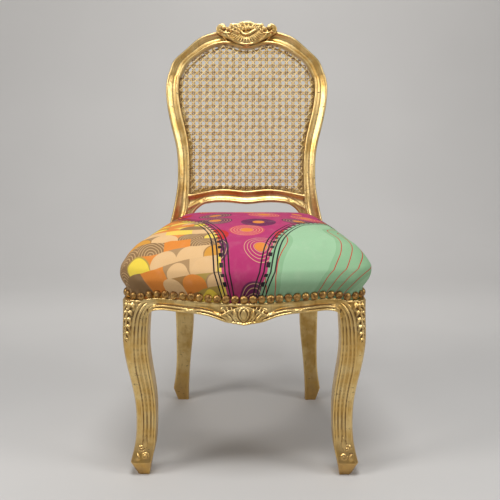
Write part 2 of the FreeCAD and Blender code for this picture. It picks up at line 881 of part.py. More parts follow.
def cross_rail(ledge):
    sections = []
    for sign, rows in ((1, cross_rail_shares), (-1, tuple(reversed(cross_rail_shares[:-1])))):
        for row in rows:
            x, upper = cross_rail_point(row, 1)
            lower = cross_rail_point(row, 2)[1]
            sections.append(moulded_section(on_back(sign * x, upper), on_back(sign * x, lower)))
    body = Part.makeLoft(sections, True, False)
    body = body.fuse([ledge, cross_tenon(0), mirrored(cross_tenon(0))])
    peg = back_pegs(peg_diameter + joint_clearance * 2)[1]
    return one_solid(body.cut([peg, mirrored(peg)]))


def palmette():
    """Raised leaf at the middle of the front rail, cut from a prouder bowed board."""
    top = front_rail_bottom - front_rail_drop + palmette_height
    low = front_rail_bottom - front_rail_drop - palmette_relief * half
    near = front_middle_y - cut_overrun
    side = palmette_half_width
    middle = (top + low) * half
    upper = top - palmette_relief
    lower = low + palmette_relief

    def place(x, height):
        return vector(x, near, height)

    outline = [
        arc(place(-side, middle), place(-side * half, upper), place(0, top)),
        arc(place(0, top), place(side * half, upper), place(side, middle)),
        arc(place(side, middle), place(side * half, lower), place(0, low)),
        arc(place(0, low), place(-side * half, lower), place(-side, middle)),
    ]
    prism = Part.Face(Part.Wire(outline)).extrude(backward * (rail_thickness + cut_overrun * 2))
    proud = rail_proud + palmette_relief
    board = front_strip(proud, -rail_thickness * half, low - cut_overrun, rebate_height)
    return board.common(prism)


def front_rail(outside):
    bottom = front_rail_bottom - front_rail_drop - cut_overrun
    board = front_strip(rail_proud, -rail_thickness, bottom, rail_top)
    board = board.cut([under_front_edge(0, bottom - cut_overrun), outside])
    band = front_strip(rail_proud + front_band_relief, -rail_thickness * half, bottom, rebate_height)
    band = band.common(under_front_edge(front_band_height, bottom - cut_overrun))
    band = band.cut(under_front_edge(0, bottom - cut_overrun))
    tenons = [front_tenon(0), mirrored(front_tenon(0))]
    rail = board.fuse([band, palmette()] + tenons)
    peg = seat_pegs(peg_diameter + joint_clearance * 2)[0]
    return one_solid(rail.cut([peg, mirrored(peg)] + screw_holes()))


def side_rail(outside):
    start_y = side_shoulder_y
    end_y = post_shoulder_y
    middle_y = (start_y + end_y) * half
    bottom = side_rail_bottom
    outer_start = vector(side_x(start_y) + rail_proud, start_y, bottom)
    outer_middle = vector(side_x(middle_y) + rail_proud, middle_y, bottom)
    outer_end = vector(side_x(end_y) + rail_proud, end_y, bottom)
    inner_start = vector(side_inner_x(start_y), start_y, bottom)
    inner_end = vector(side_inner_x(end_y), end_y, bottom)
    outline = [
        arc(outer_start, outer_middle, outer_end),
        line(outer_end, inner_end),
        line(inner_end, inner_start),
        line(inner_start, outer_start),
    ]
    board = Part.Face(Part.Wire(outline)).extrude(upward * (rail_top - bottom))
    near = seat_back_half_width * half
    arch = [
        arc(vector(near, start_y, bottom), vector(near, middle_y, bottom + side_rail_arch),
            vector(near, end_y, bottom)),
        line(vector(near, end_y, bottom), vector(near, start_y, bottom)),
    ]
    arch = Part.Face(Part.Wire(arch)).extrude(right * seat_front_half_width)
    rail = board.cut([arch, outside]).fuse([side_front_tenon(0), side_rear_tenon(0)])
    pegs = seat_pegs(peg_diameter + joint_clearance * 2)
    return one_solid(rail.cut([pegs[1]] + screw_holes()))


def back_rail():
    low, high = back_rail_y_range()
    board = box((-post_shoulder_x, post_shoulder_x), (low, high), (back_rail_bottom, rail_top))
    rail = board.fuse([back_tenon(0), mirrored(back_tenon(0))])
    peg = seat_pegs(peg_diameter + joint_clearance * 2)[2]
    return one_solid(rail.cut([peg, mirrored(peg)] + screw_holes()))


# Corner blocks of the right half, and the screws through them

def block_levels():
    top = rail_top - corner_block_drop
    return top - corner_block_height, top


def front_block_corners():
    """The block's corners on the front rail and on the side rail, nearest the leg and furthest from it."""
    leg_x = leg_top_x - knee_width * half - glue_gap * 2
    leg_y = leg_top_y + knee_width * half + glue_gap * 2
    far_x = leg_x - corner_block_reach
    far_y = leg_y + corner_block_reach
    inner = -rail_thickness - glue_gap
    near_front = (leg_x, front_y(leg_x, inner))
    far_front = (far_x, front_y(far_x, inner))
    far_side = (side_inner_x(far_y) - glue_gap, far_y)
    near_side = (side_inner_x(leg_y) - glue_gap, leg_y)
    return near_front, far_front, far_side, near_side, (leg_x, leg_y)


def front_block():
    low, high = block_levels()
    near_front, far_front, far_side, near_side, notch = front_block_corners()
    middle_x = (near_front[0] + far_front[0]) * half
    middle = (middle_x, front_y(middle_x, -rail_thickness - glue_gap))

    def place(point):
        return vector(point[0], point[1], low)

    outline = [
        arc(place(near_front), place(middle), place(far_front)),
        line(place(far_front), place(far_side)),
        line(place(far_side), place(near_side)),
        line(place(near_side), place(notch)),
        line(place(notch), place(near_front)),
    ]
    block = Part.Face(Part.Wire(outline)).extrude(upward * (high - low))
    return one_solid(block.cut(screw_holes()))


def rear_block_corners():
    y = post_front_y - glue_gap * 2
    far_y = y - corner_block_reach
    near_side = (side_inner_x(y) - glue_gap, y)
    far_back = (side_inner_x(y) - corner_block_reach, y)
    far_side = (side_inner_x(far_y) - glue_gap, far_y)
    return near_side, far_back, far_side


def rear_block():
    low, high = block_levels()
    face = polygon_face([vector(x, y, low) for x, y in rear_block_corners()])
    return one_solid(face.extrude(upward * (high - low)).cut(screw_holes()))


def screw_places():
    """Foot and direction of each screw of the right half, square to the open face of its block."""
    low, high = block_levels()
    middle = (low + high) * half
    places = []
    corners = front_block_corners()
    faces = ((corners[1], corners[2]), (rear_block_corners()[1], rear_block_corners()[2]))
    for start, end in faces:
        start = vector(start[0], start[1], middle)
        end = vector(end[0], end[1], middle)
        way = end - start
        outward = vector(way.y, -way.x, 0)
        if outward.x < 0:
            outward = outward * -1
        outward.normalize()
        for share in (half * half, 1 - half * half):
            places.append((start + way * share, outward))
    return places


def screw(place, outward, clear):
    head = Part.makeCone((screw_head_diameter * half + clear), screw_diameter * half + clear,
                         screw_head_height + clear, place, outward)
    shank = Part.makeCylinder(screw_diameter * half + clear, screw_length + clear, place, outward)
    return head.fuse(shank)


def screws(clear):
    found = [screw(place, outward, clear) for place, outward in screw_places()]
    return found + [mirrored(piece) for piece in found]


def screw_holes():
    return screws(joint_clearance)


# Webbing: straps that pass over and under one another

def lengthwise_x():
    middle = (strap_count - 1) * half
    return [(index - middle) * lengthwise_strap_spacing for index in range(strap_count)]


def crosswise_y():
    return [front_end_y + (index + 1) * crosswise_strap_spacing for index in range(strap_count)]


def strap_path(start, end, crossings, first_over):
    """Lower edge of a strap seen from its side: distance along it, height above the rails."""
    step = strap_thickness + strap_gap
    slope = strap_width * half + (lengthwise_strap_spacing - strap_width) * half * half
    flat = rail_thickness - strap_end_inset
    path = [(start, 0), (start + flat, 0)]
    for index, crossing in enumerate(crossings):
        over = (index + first_over) % 2 == 0
        height = step if over else 0
        path.append((crossing - slope, height))
        path.append((crossing + slope, height))
    path.append((end - flat, 0))
    path.append((end, 0))
    return path


def strap(path, place, across):
    low = [place(distance, rail_top + height) for distance, height in path]
    high = [place(distance, rail_top + height + strap_thickness) for distance, height in reversed(path)]
    face = polygon_face(low + high)
    return face.extrude(across * strap_width)


def strap_front_end(x):
    return front_y(abs(x) + strap_width * half) + strap_end_inset


def strap_side_end(y):
    return side_x(y + strap_width * half) - strap_end_inset


def lengthwise_straps():
    straps = []
    for number, x in enumerate(lengthwise_x()):
        edge = x - strap_width * half

        def place(distance, height, edge=edge):
            return vector(edge, distance, height)

        end = seat_back_y - strap_end_inset
        straps.append(strap(strap_path(strap_front_end(x), end, crosswise_y(), number % 2), place, right))
    return straps


def crosswise_straps():
    straps = []
    for number, y in enumerate(crosswise_y()):
        edge = y - strap_width * half

        def place(distance, height, edge=edge):
            return vector(distance, edge, height)

        reach = strap_side_end(y)
        straps.append(strap(strap_path(-reach, reach, lengthwise_x(), (number + 1) % 2), place, backward))
    return straps


def tack(x, y):
    base = vector(x, y, rail_top + strap_thickness)
    radius = tack_head_diameter * half
    return Part.makeCone(radius, radius * half, tack_head_height, base, upward)


def webbing_tacks():
    tacks = []
    margin = rail_thickness * half - strap_end_inset
    for index in range(tacks_per_end):
        offset = (index - (tacks_per_end - 1) * half) * tack_spacing
        for x in lengthwise_x():
            tacks.append(tack(x + offset, strap_front_end(x) + margin))
            tacks.append(tack(x + offset, seat_back_y - strap_end_inset - margin))
        for y in crosswise_y():
            tacks.append(tack(strap_side_end(y) - margin, y + offset))
            tacks.append(tack(-strap_side_end(y) + margin, y + offset))
    return tacks


# Upholstery: nested domes, each a smaller copy of the one outside it

def dome_faces(shrink, bottom):
    """Faces of a closed dome of the seat, smaller by an amount all round, without the flat base."""
    skirt_grow = cover_fit + cover_thickness - shrink
    sections = []
    for height_share, bulge_share in swell_shares:
        height = skirt_top + (cushion_widest - skirt_top) * height_share
        sections.append(plan_wire(height, skirt_grow, 1, cushion_bulge * bulge_share))
    for size_share, height_share in crown_shares:
        height = cushion_widest + (crown_height - shrink - cushion_widest) * height_share
        sections.append(plan_wire(height, skirt_grow, size_share, cushion_bulge))
    foot = plan_wire(bottom, skirt_grow, 1)
    skirt = foot.extrude(upward * (skirt_top - bottom))
    body = Part.makeLoft(sections, False, False)
    return skirt.Faces + body.Faces + [Part.Face(sections[-1])], foot


def closed_solid(faces):
    skin = Part.makeCompound(faces)
    skin.sewShape()
    solid = Part.Solid(skin.Shells[0])
    if solid.Volume < 0:
        solid.reverse()
    return solid


def post_rooms():
    """Room for the rear posts in whatever lies on the seat frame."""
    wide = seat_front_half_width * 2
    inner = post_half_spread - post_width * half - post_fit
    room = box((inner, wide), (post_front_y - post_fit, seat_back_y + wide), (0, crown_height))
    return [room, mirrored(room)]


def room_below(bottom):
    """Room below a level, which is cut off the layers that start above the skirt."""
    wide = seat_front_half_width * 2
    return box((-wide, wide), (-wide, seat_back_y + wide), (rebate_height - cut_overrun, bottom))


def dome(shrink, bottom):
    faces, foot = dome_faces(shrink, rebate_height)
    body = closed_solid(faces + [Part.Face(foot)])
    return one_solid(body.cut(post_rooms() + [room_below(bottom)]))


def layer(shrink, thickness, bottom):
    """Layer of one thickness between two domes, open at the bottom."""
    outer, outer_foot = dome_faces(shrink, rebate_height)
    inner, inner_foot = dome_faces(shrink + thickness, rebate_height)
    base = Part.makeFace([outer_foot, inner_foot], "Part::FaceMakerBullseye")
    tools = post_rooms()
    if bottom > rebate_height:
        tools.append(room_below(bottom))
    return one_solid(closed_solid(outer + inner + [base]).cut(tools))


def platform_level():
    return rail_top + strap_thickness * 2 + strap_gap + tack_head_height + platform_gap * half


def platform_cloth():
    face = Part.Face(plan_wire(platform_level(), -strap_end_inset, 1))
    sheet = face.extrude(upward * platform_thickness)
    return one_solid(sheet.cut(post_rooms()))


# Dome nails along the lower edge of the cover

def nail(place, outward):
    """Domed head whose flat back lies just off the cover, with its axis pointing outwards."""
    radius = nail_head_diameter * half
    sphere = (radius ** 2 + nail_head_height ** 2) * half / nail_head_height
    latitude = math.degrees(math.asin((sphere - nail_head_height) / sphere))
    head = Part.makeSphere(sphere, vector(0, 0, nail_head_height - sphere), upward, latitude, 90, 360)
    head.Placement = FreeCAD.Placement(place, FreeCAD.Rotation(upward, outward))
    return head


def nails_along(edges, start_gap, end_gap, lifted):
    """Evenly spaced nails along a chain of edges, leaving a gap at each end."""
    wire = Part.Wire(edges)
    span = wire.Length - start_gap - end_gap
    count = max(1, round(span / nail_pitch))
    points = wire.discretize(Number=count * 10 + 1)
    total = wire.Length
    nails = []
    for index in range(count + 1):
        at = (start_gap + span * index / count) / total * (len(points) - 1)
        low = min(int(at), len(points) - 2)
        way = points[low + 1] - points[low]
        centre = points[low] + way * (at - low)
        outward = vector(way.y, -way.x, 0)
        outward.normalize()
        middle = vector(0, crown_y, centre.z)
        if outward.dot(centre - middle) < 0:
            outward = outward * -1
        lift = 0
        if lifted:
            lift = nail_line_lift * step_value(nail_line_shares, abs(centre.x) / seat_front_half_width)
        nails.append(nail(centre + outward * nail_seat_gap + upward * lift, outward))
    return nails


def nail_rows():
    grow = cover_thickness + cover_fit
    edges = plan_wire(nail_line_height, grow, 1).Edges
    front, right_corner, right_side, back, left_side, left_corner = edges
    split = nail_pitch * half
    post_gap = seat_back_y - post_front_y + nail_head_diameter * half + post_fit
    front_nails = nails_along([left_corner, front, right_corner], split, split, True)
    right_nails = nails_along([right_side], split, post_gap, False)
    left_nails = nails_along([left_side], post_gap, split, False)
    inner = post_half_spread - post_width * half
    back_gap = back.Length * half - inner + nail_head_diameter
    rear_nails = nails_along([back], back_gap, back_gap, False)
    return front_nails, right_nails, left_nails, rear_nails


# Cane

def cane_panel():
    """The woven panel as one face with eight-sided gaps, seated on the ledge of the back frame."""
    depth = ledge_depth - cane_thickness
    shift = into_the_back * depth
    limit = Part.Face(opening_wire(ledge_width + cane_border, depth))
    columns = int(back_half_width / cane_pitch) + 1
    rows = int(back_height / cane_pitch) + 1
    corner = cane_hole * half
    cut = corner * (math.sqrt(2) - 1)
    corners = ((corner, -cut), (corner, cut), (cut, corner), (-cut, corner),
               (-corner, cut), (-corner, -cut), (-cut, -corner), (cut, -corner), (corner, -cut))
    reach = corner + cane_border * half
    probes = ((0, 0), (reach, 0), (-reach, 0), (0, reach), (0, -reach))
    tolerance = cane_edge_gap * half * half
    holes = []
    for column in range(-columns, columns + 1):
        for row in range(rows + 1):
            x = column * cane_pitch
            z = cross_rail_level + row * cane_pitch
            around = [on_back(x + i, z + j) + shift for i, j in probes]
            if all(limit.isInside(point, tolerance, True) for point in around):
                holes.append(Part.makePolygon([on_back(x + i, z + j) + shift for i, j in corners]))
    face = Part.makeFace([opening_wire(cane_edge_gap, depth)] + holes, "Part::FaceMakerBullseye")
    print("cane gaps", len(holes))
    return one_solid(face.extrude(into_the_back * cane_thickness))


def cane_binder():
    inner_inset = binder_inset + binder_width
    return one_solid(ring(binder_inset, inner_inset, ledge_depth + ledge_thickness, binder_thickness))


# The whole chair

def chair_pieces():
    outside = outside_the_seat()
    cross_ledge, stile_ledge, crest_ledge = split_ledge()
    pieces = {}
    leg = front_leg(outside)
    pieces["front_leg_right"] = [leg]
    pieces["front_leg_left"] = [mirrored(leg)]
    post, rooms = rear_post()
    post = one_solid(post.fuse(stile_ledge).cut(rooms))
    pieces["rear_post_right"] = [post]
    pieces["rear_post_left"] = [mirrored(post)]
    pieces["front_rail"] = [front_rail(outside)]
    rail = side_rail(outside)
    pieces["side_rail_right"] = [rail]
    pieces["side_rail_left"] = [mirrored(rail)]
    pieces["back_rail"] = [back_rail()]
    pieces["crest_rail"] = [crest_rail(crest_ledge)]
    pieces["cross_rail"] = [cross_rail(cross_ledge)]
    for name, block in (("front", front_block()), ("rear", rear_block())):
        pieces["corner_block_" + name + "_right"] = [block]
        pieces["corner_block_" + name + "_left"] = [mirrored(block)]
    pieces["corner_block_screws"] = screws(0)
    pegs = seat_pegs(peg_diameter)
    pieces["seat_frame_pegs"] = pegs + [mirrored(peg) for peg in pegs]
    pegs = back_pegs(peg_diameter)
    pieces["back_frame_pegs"] = pegs + [mirrored(peg) for peg in pegs]
    pieces["cane_panel"] = [cane_panel()]
    pieces["cane_binder"] = [cane_binder()]
    pieces["webbing_lengthwise"] = lengthwise_straps()
    pieces["webbing_crosswise"] = crosswise_straps()
    pieces["webbing_tacks"] = webbing_tacks()
    pieces["platform_cloth"] = [platform_cloth()]
    foam_shrink = cover_thickness + layer_gap + wadding_thickness + layer_gap
    foam_level = platform_level() + platform_thickness + foam_gap
    pieces["seat_foam"] = [one_solid(dome(foam_shrink, foam_level))]
    pieces["seat_wadding"] = [layer(cover_thickness + layer_gap, wadding_thickness, rail_top)]
    pieces["seat_cover"] = [layer(0, cover_thickness, rebate_height)]
    front_nails, right_nails, left_nails, rear_nails = nail_rows()
    pieces["front_nails"] = front_nails
    pieces["right_nails"] = right_nails
    pieces["left_nails"] = left_nails
    pieces["rear_nails"] = rear_nails
    return pieces


def write_pieces(pieces):
    """Move the chair so that the origin is the middle of its footprint, and write one file a piece."""
    os.makedirs("parts", exist_ok=True)
    bounds = FreeCAD.BoundBox()
    for solids in pieces.values():
        for solid in solids:
            bounds.add(solid.BoundBox)
    shift = vector(0, -(bounds.YMin + bounds.YMax) * half, 0)
    for name, solids in pieces.items():
        shape = Part.makeCompound(solids) if len(solids) > 1 else solids[0].copy()
        shape.translate(shift)
        shape.exportStep("parts/" + name + ".step")
        print(name, len(solids), "valid" if shape.isValid() else "NOT VALID", round(shape.Volume))
    size = [round(length, 1) for length in (bounds.XLength, bounds.YLength, bounds.ZMax)]
    print("size", size, "shift", round(shift.y, 2))


write_pieces(chair_pieces())
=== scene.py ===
import logging
import math
import random
from collections.abc import Callable, Iterable, Sequence
from dataclasses import dataclass, field
from enum import Enum

import bmesh
import bpy
import numpy as np
from mathutils import Matrix, Vector
from mathutils.bvhtree import BVHTree


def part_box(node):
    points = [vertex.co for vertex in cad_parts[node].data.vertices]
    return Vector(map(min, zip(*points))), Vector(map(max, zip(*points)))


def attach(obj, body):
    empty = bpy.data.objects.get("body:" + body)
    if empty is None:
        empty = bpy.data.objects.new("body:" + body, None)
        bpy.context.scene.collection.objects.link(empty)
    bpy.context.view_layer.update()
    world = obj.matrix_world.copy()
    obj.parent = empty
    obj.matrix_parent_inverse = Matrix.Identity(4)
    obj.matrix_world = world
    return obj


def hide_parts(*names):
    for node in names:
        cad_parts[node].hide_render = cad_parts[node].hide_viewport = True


# Looks of a gilded rococo side chair: carved and leafed frame, woven cane back, domed seat in a
# printed cotton, dome nails, and the webbing and joinery underneath. Metres, +Z up, faces -Y.

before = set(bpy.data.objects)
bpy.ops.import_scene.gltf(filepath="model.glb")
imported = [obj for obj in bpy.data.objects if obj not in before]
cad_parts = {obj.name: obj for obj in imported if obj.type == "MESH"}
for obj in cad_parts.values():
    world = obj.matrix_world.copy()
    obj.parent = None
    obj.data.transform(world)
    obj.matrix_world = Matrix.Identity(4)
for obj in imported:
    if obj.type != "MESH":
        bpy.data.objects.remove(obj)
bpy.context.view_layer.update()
log = logging.getLogger("side_chair")

Colour = tuple[float, float, float]
Thing = bpy.types.Object
Wire = bpy.types.NodeSocket
Line = Sequence[tuple[float, float]]
Meeting = tuple[Vector, Vector] | None


# Bench work: small steps that every piece is made with

def deselect() -> None:
    """Clear the selection, so that an operator acts on nothing but what is picked next."""
    for thing in bpy.context.selected_objects:
        thing.select_set(False)


def pick(piece: Thing) -> None:
    """Select one piece alone and make it the active one."""
    deselect()
    piece.select_set(True)
    bpy.context.view_layer.objects.active = piece


def settle(piece: Thing) -> Thing:
    """Put a piece's place, turn and scale into its mesh.

    Args:
        piece: the object whose transform is applied.

    Returns:
        The same object, at the origin.
    """
    pick(piece)
    bpy.ops.object.transform_apply(location=True, rotation=True, scale=True)
    return piece


def apply_modifier(piece: Thing, kind: str, **settings: object) -> None:
    """Add a modifier, set it and apply it.

    Args:
        piece: the object that it works on.
        kind: the modifier's type.
        **settings: values of its properties.
    """
    pick(piece)
    modifier = piece.modifiers.new(kind.lower(), kind)
    for name, value in settings.items():
        setattr(modifier, name, value)
    bpy.ops.object.modifier_apply(modifier=modifier.name)


def join(pieces: Sequence[Thing], name: str) -> Thing:
    """Join pieces into the first one.

    Args:
        pieces: the objects, the first of which stays.
        name: the joined object's new name.

    Returns:
        The joined object.
    """
    pick(pieces[0])
    for piece in pieces[1:]:
        piece.select_set(True)
    if len(pieces) > 1:
        bpy.ops.object.join()
    pieces[0].name = name
    pieces[0].data.name = name
    return pieces[0]


def copy_of(node: str, name: str) -> Thing:
    """Copy a frame node's mesh into a new object with its doubles merged.

    Args:
        node: the node that is copied.
        name: the new object's name.

    Returns:
        The copy.
    """
    piece = bpy.data.objects.new(name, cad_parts[node].data.copy())
    bpy.context.scene.collection.objects.link(piece)
    piece.data.materials.clear()
    shell = bmesh.new()
    shell.from_mesh(piece.data)
    bmesh.ops.remove_doubles(shell, verts=shell.verts, dist=0.00002)
    shell.to_mesh(piece.data)
    shell.free()
    return piece


def new_mesh(name: str, points: Sequence[Sequence[float]], faces: Sequence[Sequence[int]]) -> Thing:
    """Make an object from points and faces.

    Args:
        name: the object's name.
        points: corner places.
        faces: corner numbers of each face.

    Returns:
        The object, linked to the scene.
    """
    mesh = bpy.data.meshes.new(name)
    mesh.from_pydata([tuple(point) for point in points], [], [tuple(face) for face in faces])
    mesh.update()
    piece = bpy.data.objects.new(name, mesh)
    bpy.context.scene.collection.objects.link(piece)
    return piece


def places_of(piece: Thing) -> np.ndarray:
    """Return the places of a mesh's points as rows of three numbers."""
    places = np.empty(len(piece.data.vertices) * 3)
    piece.data.vertices.foreach_get("co", places)
    return places.reshape(-1, 3)


def move_points(piece: Thing, places: np.ndarray) -> None:
    """Give a mesh's points new places."""
    piece.data.vertices.foreach_set("co", places.ravel())
    piece.data.update()


def smooth_shade(piece: Thing, angle: float = 180.0) -> None:
    """Shade a piece smooth, except across edges sharper than an angle in degrees."""
    pick(piece)
    if angle >= 180.0:
        bpy.ops.object.shade_smooth()
    else:
        bpy.ops.object.shade_smooth_by_angle(angle=math.radians(angle))


def mark_wear_and_shade(piece: Thing, rounds: int = 4) -> None:
    """Store how hollow (positive, per millimetre) the surface is, which the gold's painted shade and painted highlight
    follow, and how warm its gold, at each point.

    Args:
        piece: the object that gets the attributes.
        rounds: how often the places are averaged with their neighbours.
    """
    mesh = piece.data
    count = len(mesh.vertices)
    places = places_of(piece)
    normals = np.empty(count * 3)
    mesh.vertices.foreach_get("normal", normals)
    normals = normals.reshape(-1, 3)
    ends = np.empty(len(mesh.edges) * 2, dtype=np.int64)
    mesh.edges.foreach_get("vertices", ends)
    first, second = ends[0::2], ends[1::2]
    degree = np.maximum(np.bincount(first, minlength=count) + np.bincount(second, minlength=count), 1)
    step = float(np.linalg.norm(places[first] - places[second], axis=1).mean())

    def average(values: np.ndarray) -> np.ndarray:
        """Average each point's value over its neighbours."""
        total = np.bincount(first, weights=values[second], minlength=count)
        return (total + np.bincount(second, weights=values[first], minlength=count)) / degree

    drawn = places.copy()
    for _ in range(rounds):
        drawn = np.stack([average(drawn[:, axis]) for axis in range(3)], axis=1)
    bend = ((drawn - places) * normals).sum(axis=1) * 4.0 / (rounds * step * step) / 1000.0
    for _ in range(2):
        bend = 0.5 * bend + 0.5 * average(bend)
    warm = np.exp(-((places[:, 2] - 0.49) / 0.075) ** 2) * (places[:, 1] > 0.15)
    for name, values in (("hollow", bend), ("warm", warm)):
        layer = mesh.attributes.new(name, "FLOAT", "POINT")
        layer.data.foreach_set("value", values.astype(np.float32))


def dress(piece: Thing, material: bpy.types.Material, slot: str, *nodes: str) -> None:
    """Give a finished piece its material and its body, and hide the nodes that it stands for.

    Args:
        piece: the finished object.
        material: its finish.
        slot: not used.
        *nodes: frame nodes that it replaces.
    """
    piece.data.materials.clear()
    piece.data.materials.append(material)
    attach(piece, "root")
    if nodes:
        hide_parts(*nodes)
    log.info("%s: %d faces, %s", piece.name, len(piece.data.polygons), material.name)


# Where the back stands

@dataclass(frozen=True)
class BackPlane:
    """Front plane of the raked back."""

    front_y: float = 0.18329
    base_z: float = 0.440
    rake: float = math.radians(10.0)

    @property
    def up(self) -> Vector:
        """Direction up the back."""
        return Vector((0.0, math.sin(self.rake), math.cos(self.rake)))

    @property
    def inward(self) -> Vector:
        """Direction from the front plane into the back."""
        return Vector((0.0, math.cos(self.rake), -math.sin(self.rake)))

    def at(self, x: float, height: float, depth: float = 0.0) -> Vector:
        """Point at a place across the back, a level above the floor and a depth behind the front.

        Args:
            x: place across the chair.
            height: level on the front plane.
            depth: depth behind the front plane.

        Returns:
            The point.
        """
        along = (height - self.base_z) / math.cos(self.rake)
        return Vector((x, self.front_y, self.base_z)) + self.up * along + self.inward * depth


BACK = BackPlane()


# Carving tools

class Skin:
    """Surface of a blank, on which carving is laid."""

    def __init__(self, blank: Thing) -> None:
        """Read the blank's surface."""
        shell = bmesh.new()
        shell.from_mesh(blank.data)
        self.tree = BVHTree.FromBMesh(shell)
        shell.free()

    def meet(self, start: Vector, way: Vector) -> Meeting:
        """Find where a line first meets the surface.

        Args:
            start: where the line starts.
            way: its direction.

        Returns:
            The place and the surface's outward direction there, or None.
        """
        place, normal, _, _ = self.tree.ray_cast(start, way)
        if place is None:
            return None
        return place, normal

    def from_front(self, x: float, z: float) -> Meeting:
        """Meet the surface from straight in front."""
        return self.meet(Vector((x, -1.0, z)), Vector((0.0, 1.0, 0.0)))

    def from_back_front(self, x: float, height: float) -> Meeting:
        """Meet the surface square to the raked back, from its front."""
        return self.meet(BACK.at(x, height, -0.2), BACK.inward)

    def span(self, y: float, z: float, side: int) -> tuple[float, float] | None:
        """Outer and inner x of the leg on one side, at a depth and a level."""
        outer = self.meet(Vector((side * 1.0, y, z)), Vector((-side, 0.0, 0.0)))
        inner = self.meet(Vector((side * 0.16, y, z)), Vector((side, 0.0, 0.0)))
        if outer is None or inner is None:
            return None
        return outer[0].x, inner[0].x


def bead(points: Sequence[Vector], radii: Sequence[float], steps: int = 4) -> Thing:
    """Carve a rounded bead along a smooth line.

    Args:
        points: control points of the line.
        radii: the bead's radius at each point.
        steps: how finely the line is divided.

    Returns:
        The bead as a mesh object.
    """
    deselect()
    bpy.ops.curve.primitive_nurbs_path_add()
    piece = bpy.context.object
    curve = piece.data
    curve.splines.clear()
    spline = curve.splines.new("NURBS")
    spline.points.add(len(points) - 1)
    for knot, place, radius in zip(spline.points, points, radii):
        knot.co = (*place, 1.0)
        knot.radius = radius
    spline.order_u = min(4, len(points))
    spline.use_endpoint_u = True
    curve.resolution_u = steps
    curve.bevel_depth = 1.0
    curve.bevel_resolution = 2
    curve.use_fill_caps = True
    bpy.ops.object.convert(target="MESH")
    return settle(bpy.context.object)


def knob(place: Vector, sizes: Sequence[float], axes: Matrix | None = None) -> Thing:
    """Carve an egg-shaped knob.

    Args:
        place: its middle.
        sizes: its half sizes along its own three axes.
        axes: its axes as a rotation, upright if not given.

    Returns:
        The knob.
    """
    deselect()
    bpy.ops.mesh.primitive_uv_sphere_add(segments=14, ring_count=9, radius=1.0)
    piece = bpy.context.object
    turn = (axes or Matrix.Identity(3)).to_4x4()
    piece.matrix_world = Matrix.Translation(place) @ turn @ Matrix.Diagonal((*sizes, 1.0))
    return settle(piece)


def petal(root: Vector, tip: Vector, outward: Vector, width: float, rise: float, point: float = 0.5) -> Thing:
    """Carve a petal with a pointed tip and a raised rib.

    Args:
        root: where the petal starts.
        tip: where it ends.
        outward: direction away from the wood.
        width: half its width.
        rise: how far it stands proud.
        point: how much it narrows towards its tip.

    Returns:
        The petal.
    """
    along = tip - root
    reach = along.length / 2.0
    along.normalize()
    side = outward.cross(along).normalized()
    up = along.cross(side).normalized()
    piece = knob(Vector((0.0, 0.0, 0.0)), (reach, width, rise))
    places = places_of(piece)
    share = places[:, 0] / reach
    places[:, 1] *= 1.0 - point * np.clip(share, -1.0, 1.0) * 0.9
    places[:, 2] += rise * 0.5 * np.exp(-(places[:, 1] / (width * 0.22)) ** 2) * (places[:, 2] > 0)
    axes = Matrix((along, side, up)).transposed()
    places = places @ np.array(axes).T + np.array((root + tip) / 2.0)
    move_points(piece, places)
    return piece


def scroll(centre: Vector, across: Vector, up: Vector, radius: float, turns: float, thick: float,
           hand: int) -> Thing:
    """Carve a scroll that winds in to an eye.

    Args:
        centre: the eye.
        across: one direction in the scroll's plane.
        up: the other direction.
        radius: how far the outer turn reaches.
        turns: how many turns it has.
        thick: the bead's radius at the outside.
        hand: 1 or -1, the way it turns.

    Returns:
        The scroll.
    """
    points = []
    radii = []
    count = max(8, int(turns * 9))
    lift = across.cross(up).normalized()
    for step in range(count + 1):
        share = step / count
        angle = hand * share * turns * math.tau
        reach = radius * (1.0 - 0.86 * share)
        points.append(centre + across * (reach * math.cos(angle)) + up * (reach * math.sin(angle)))
        points[-1] += lift * (thick * 0.9 * share)
        radii.append(thick * (1.0 - 0.35 * share))
    return join([bead(points, radii, 3), knob(points[-1], (thick * 1.25,) * 3)], "scroll")


# Finishes

class Socket(Enum):
    """Kinds of value that pass in and out of a node group."""

    VALUE = "NodeSocketFloat"
    VECTOR = "NodeSocketVector"


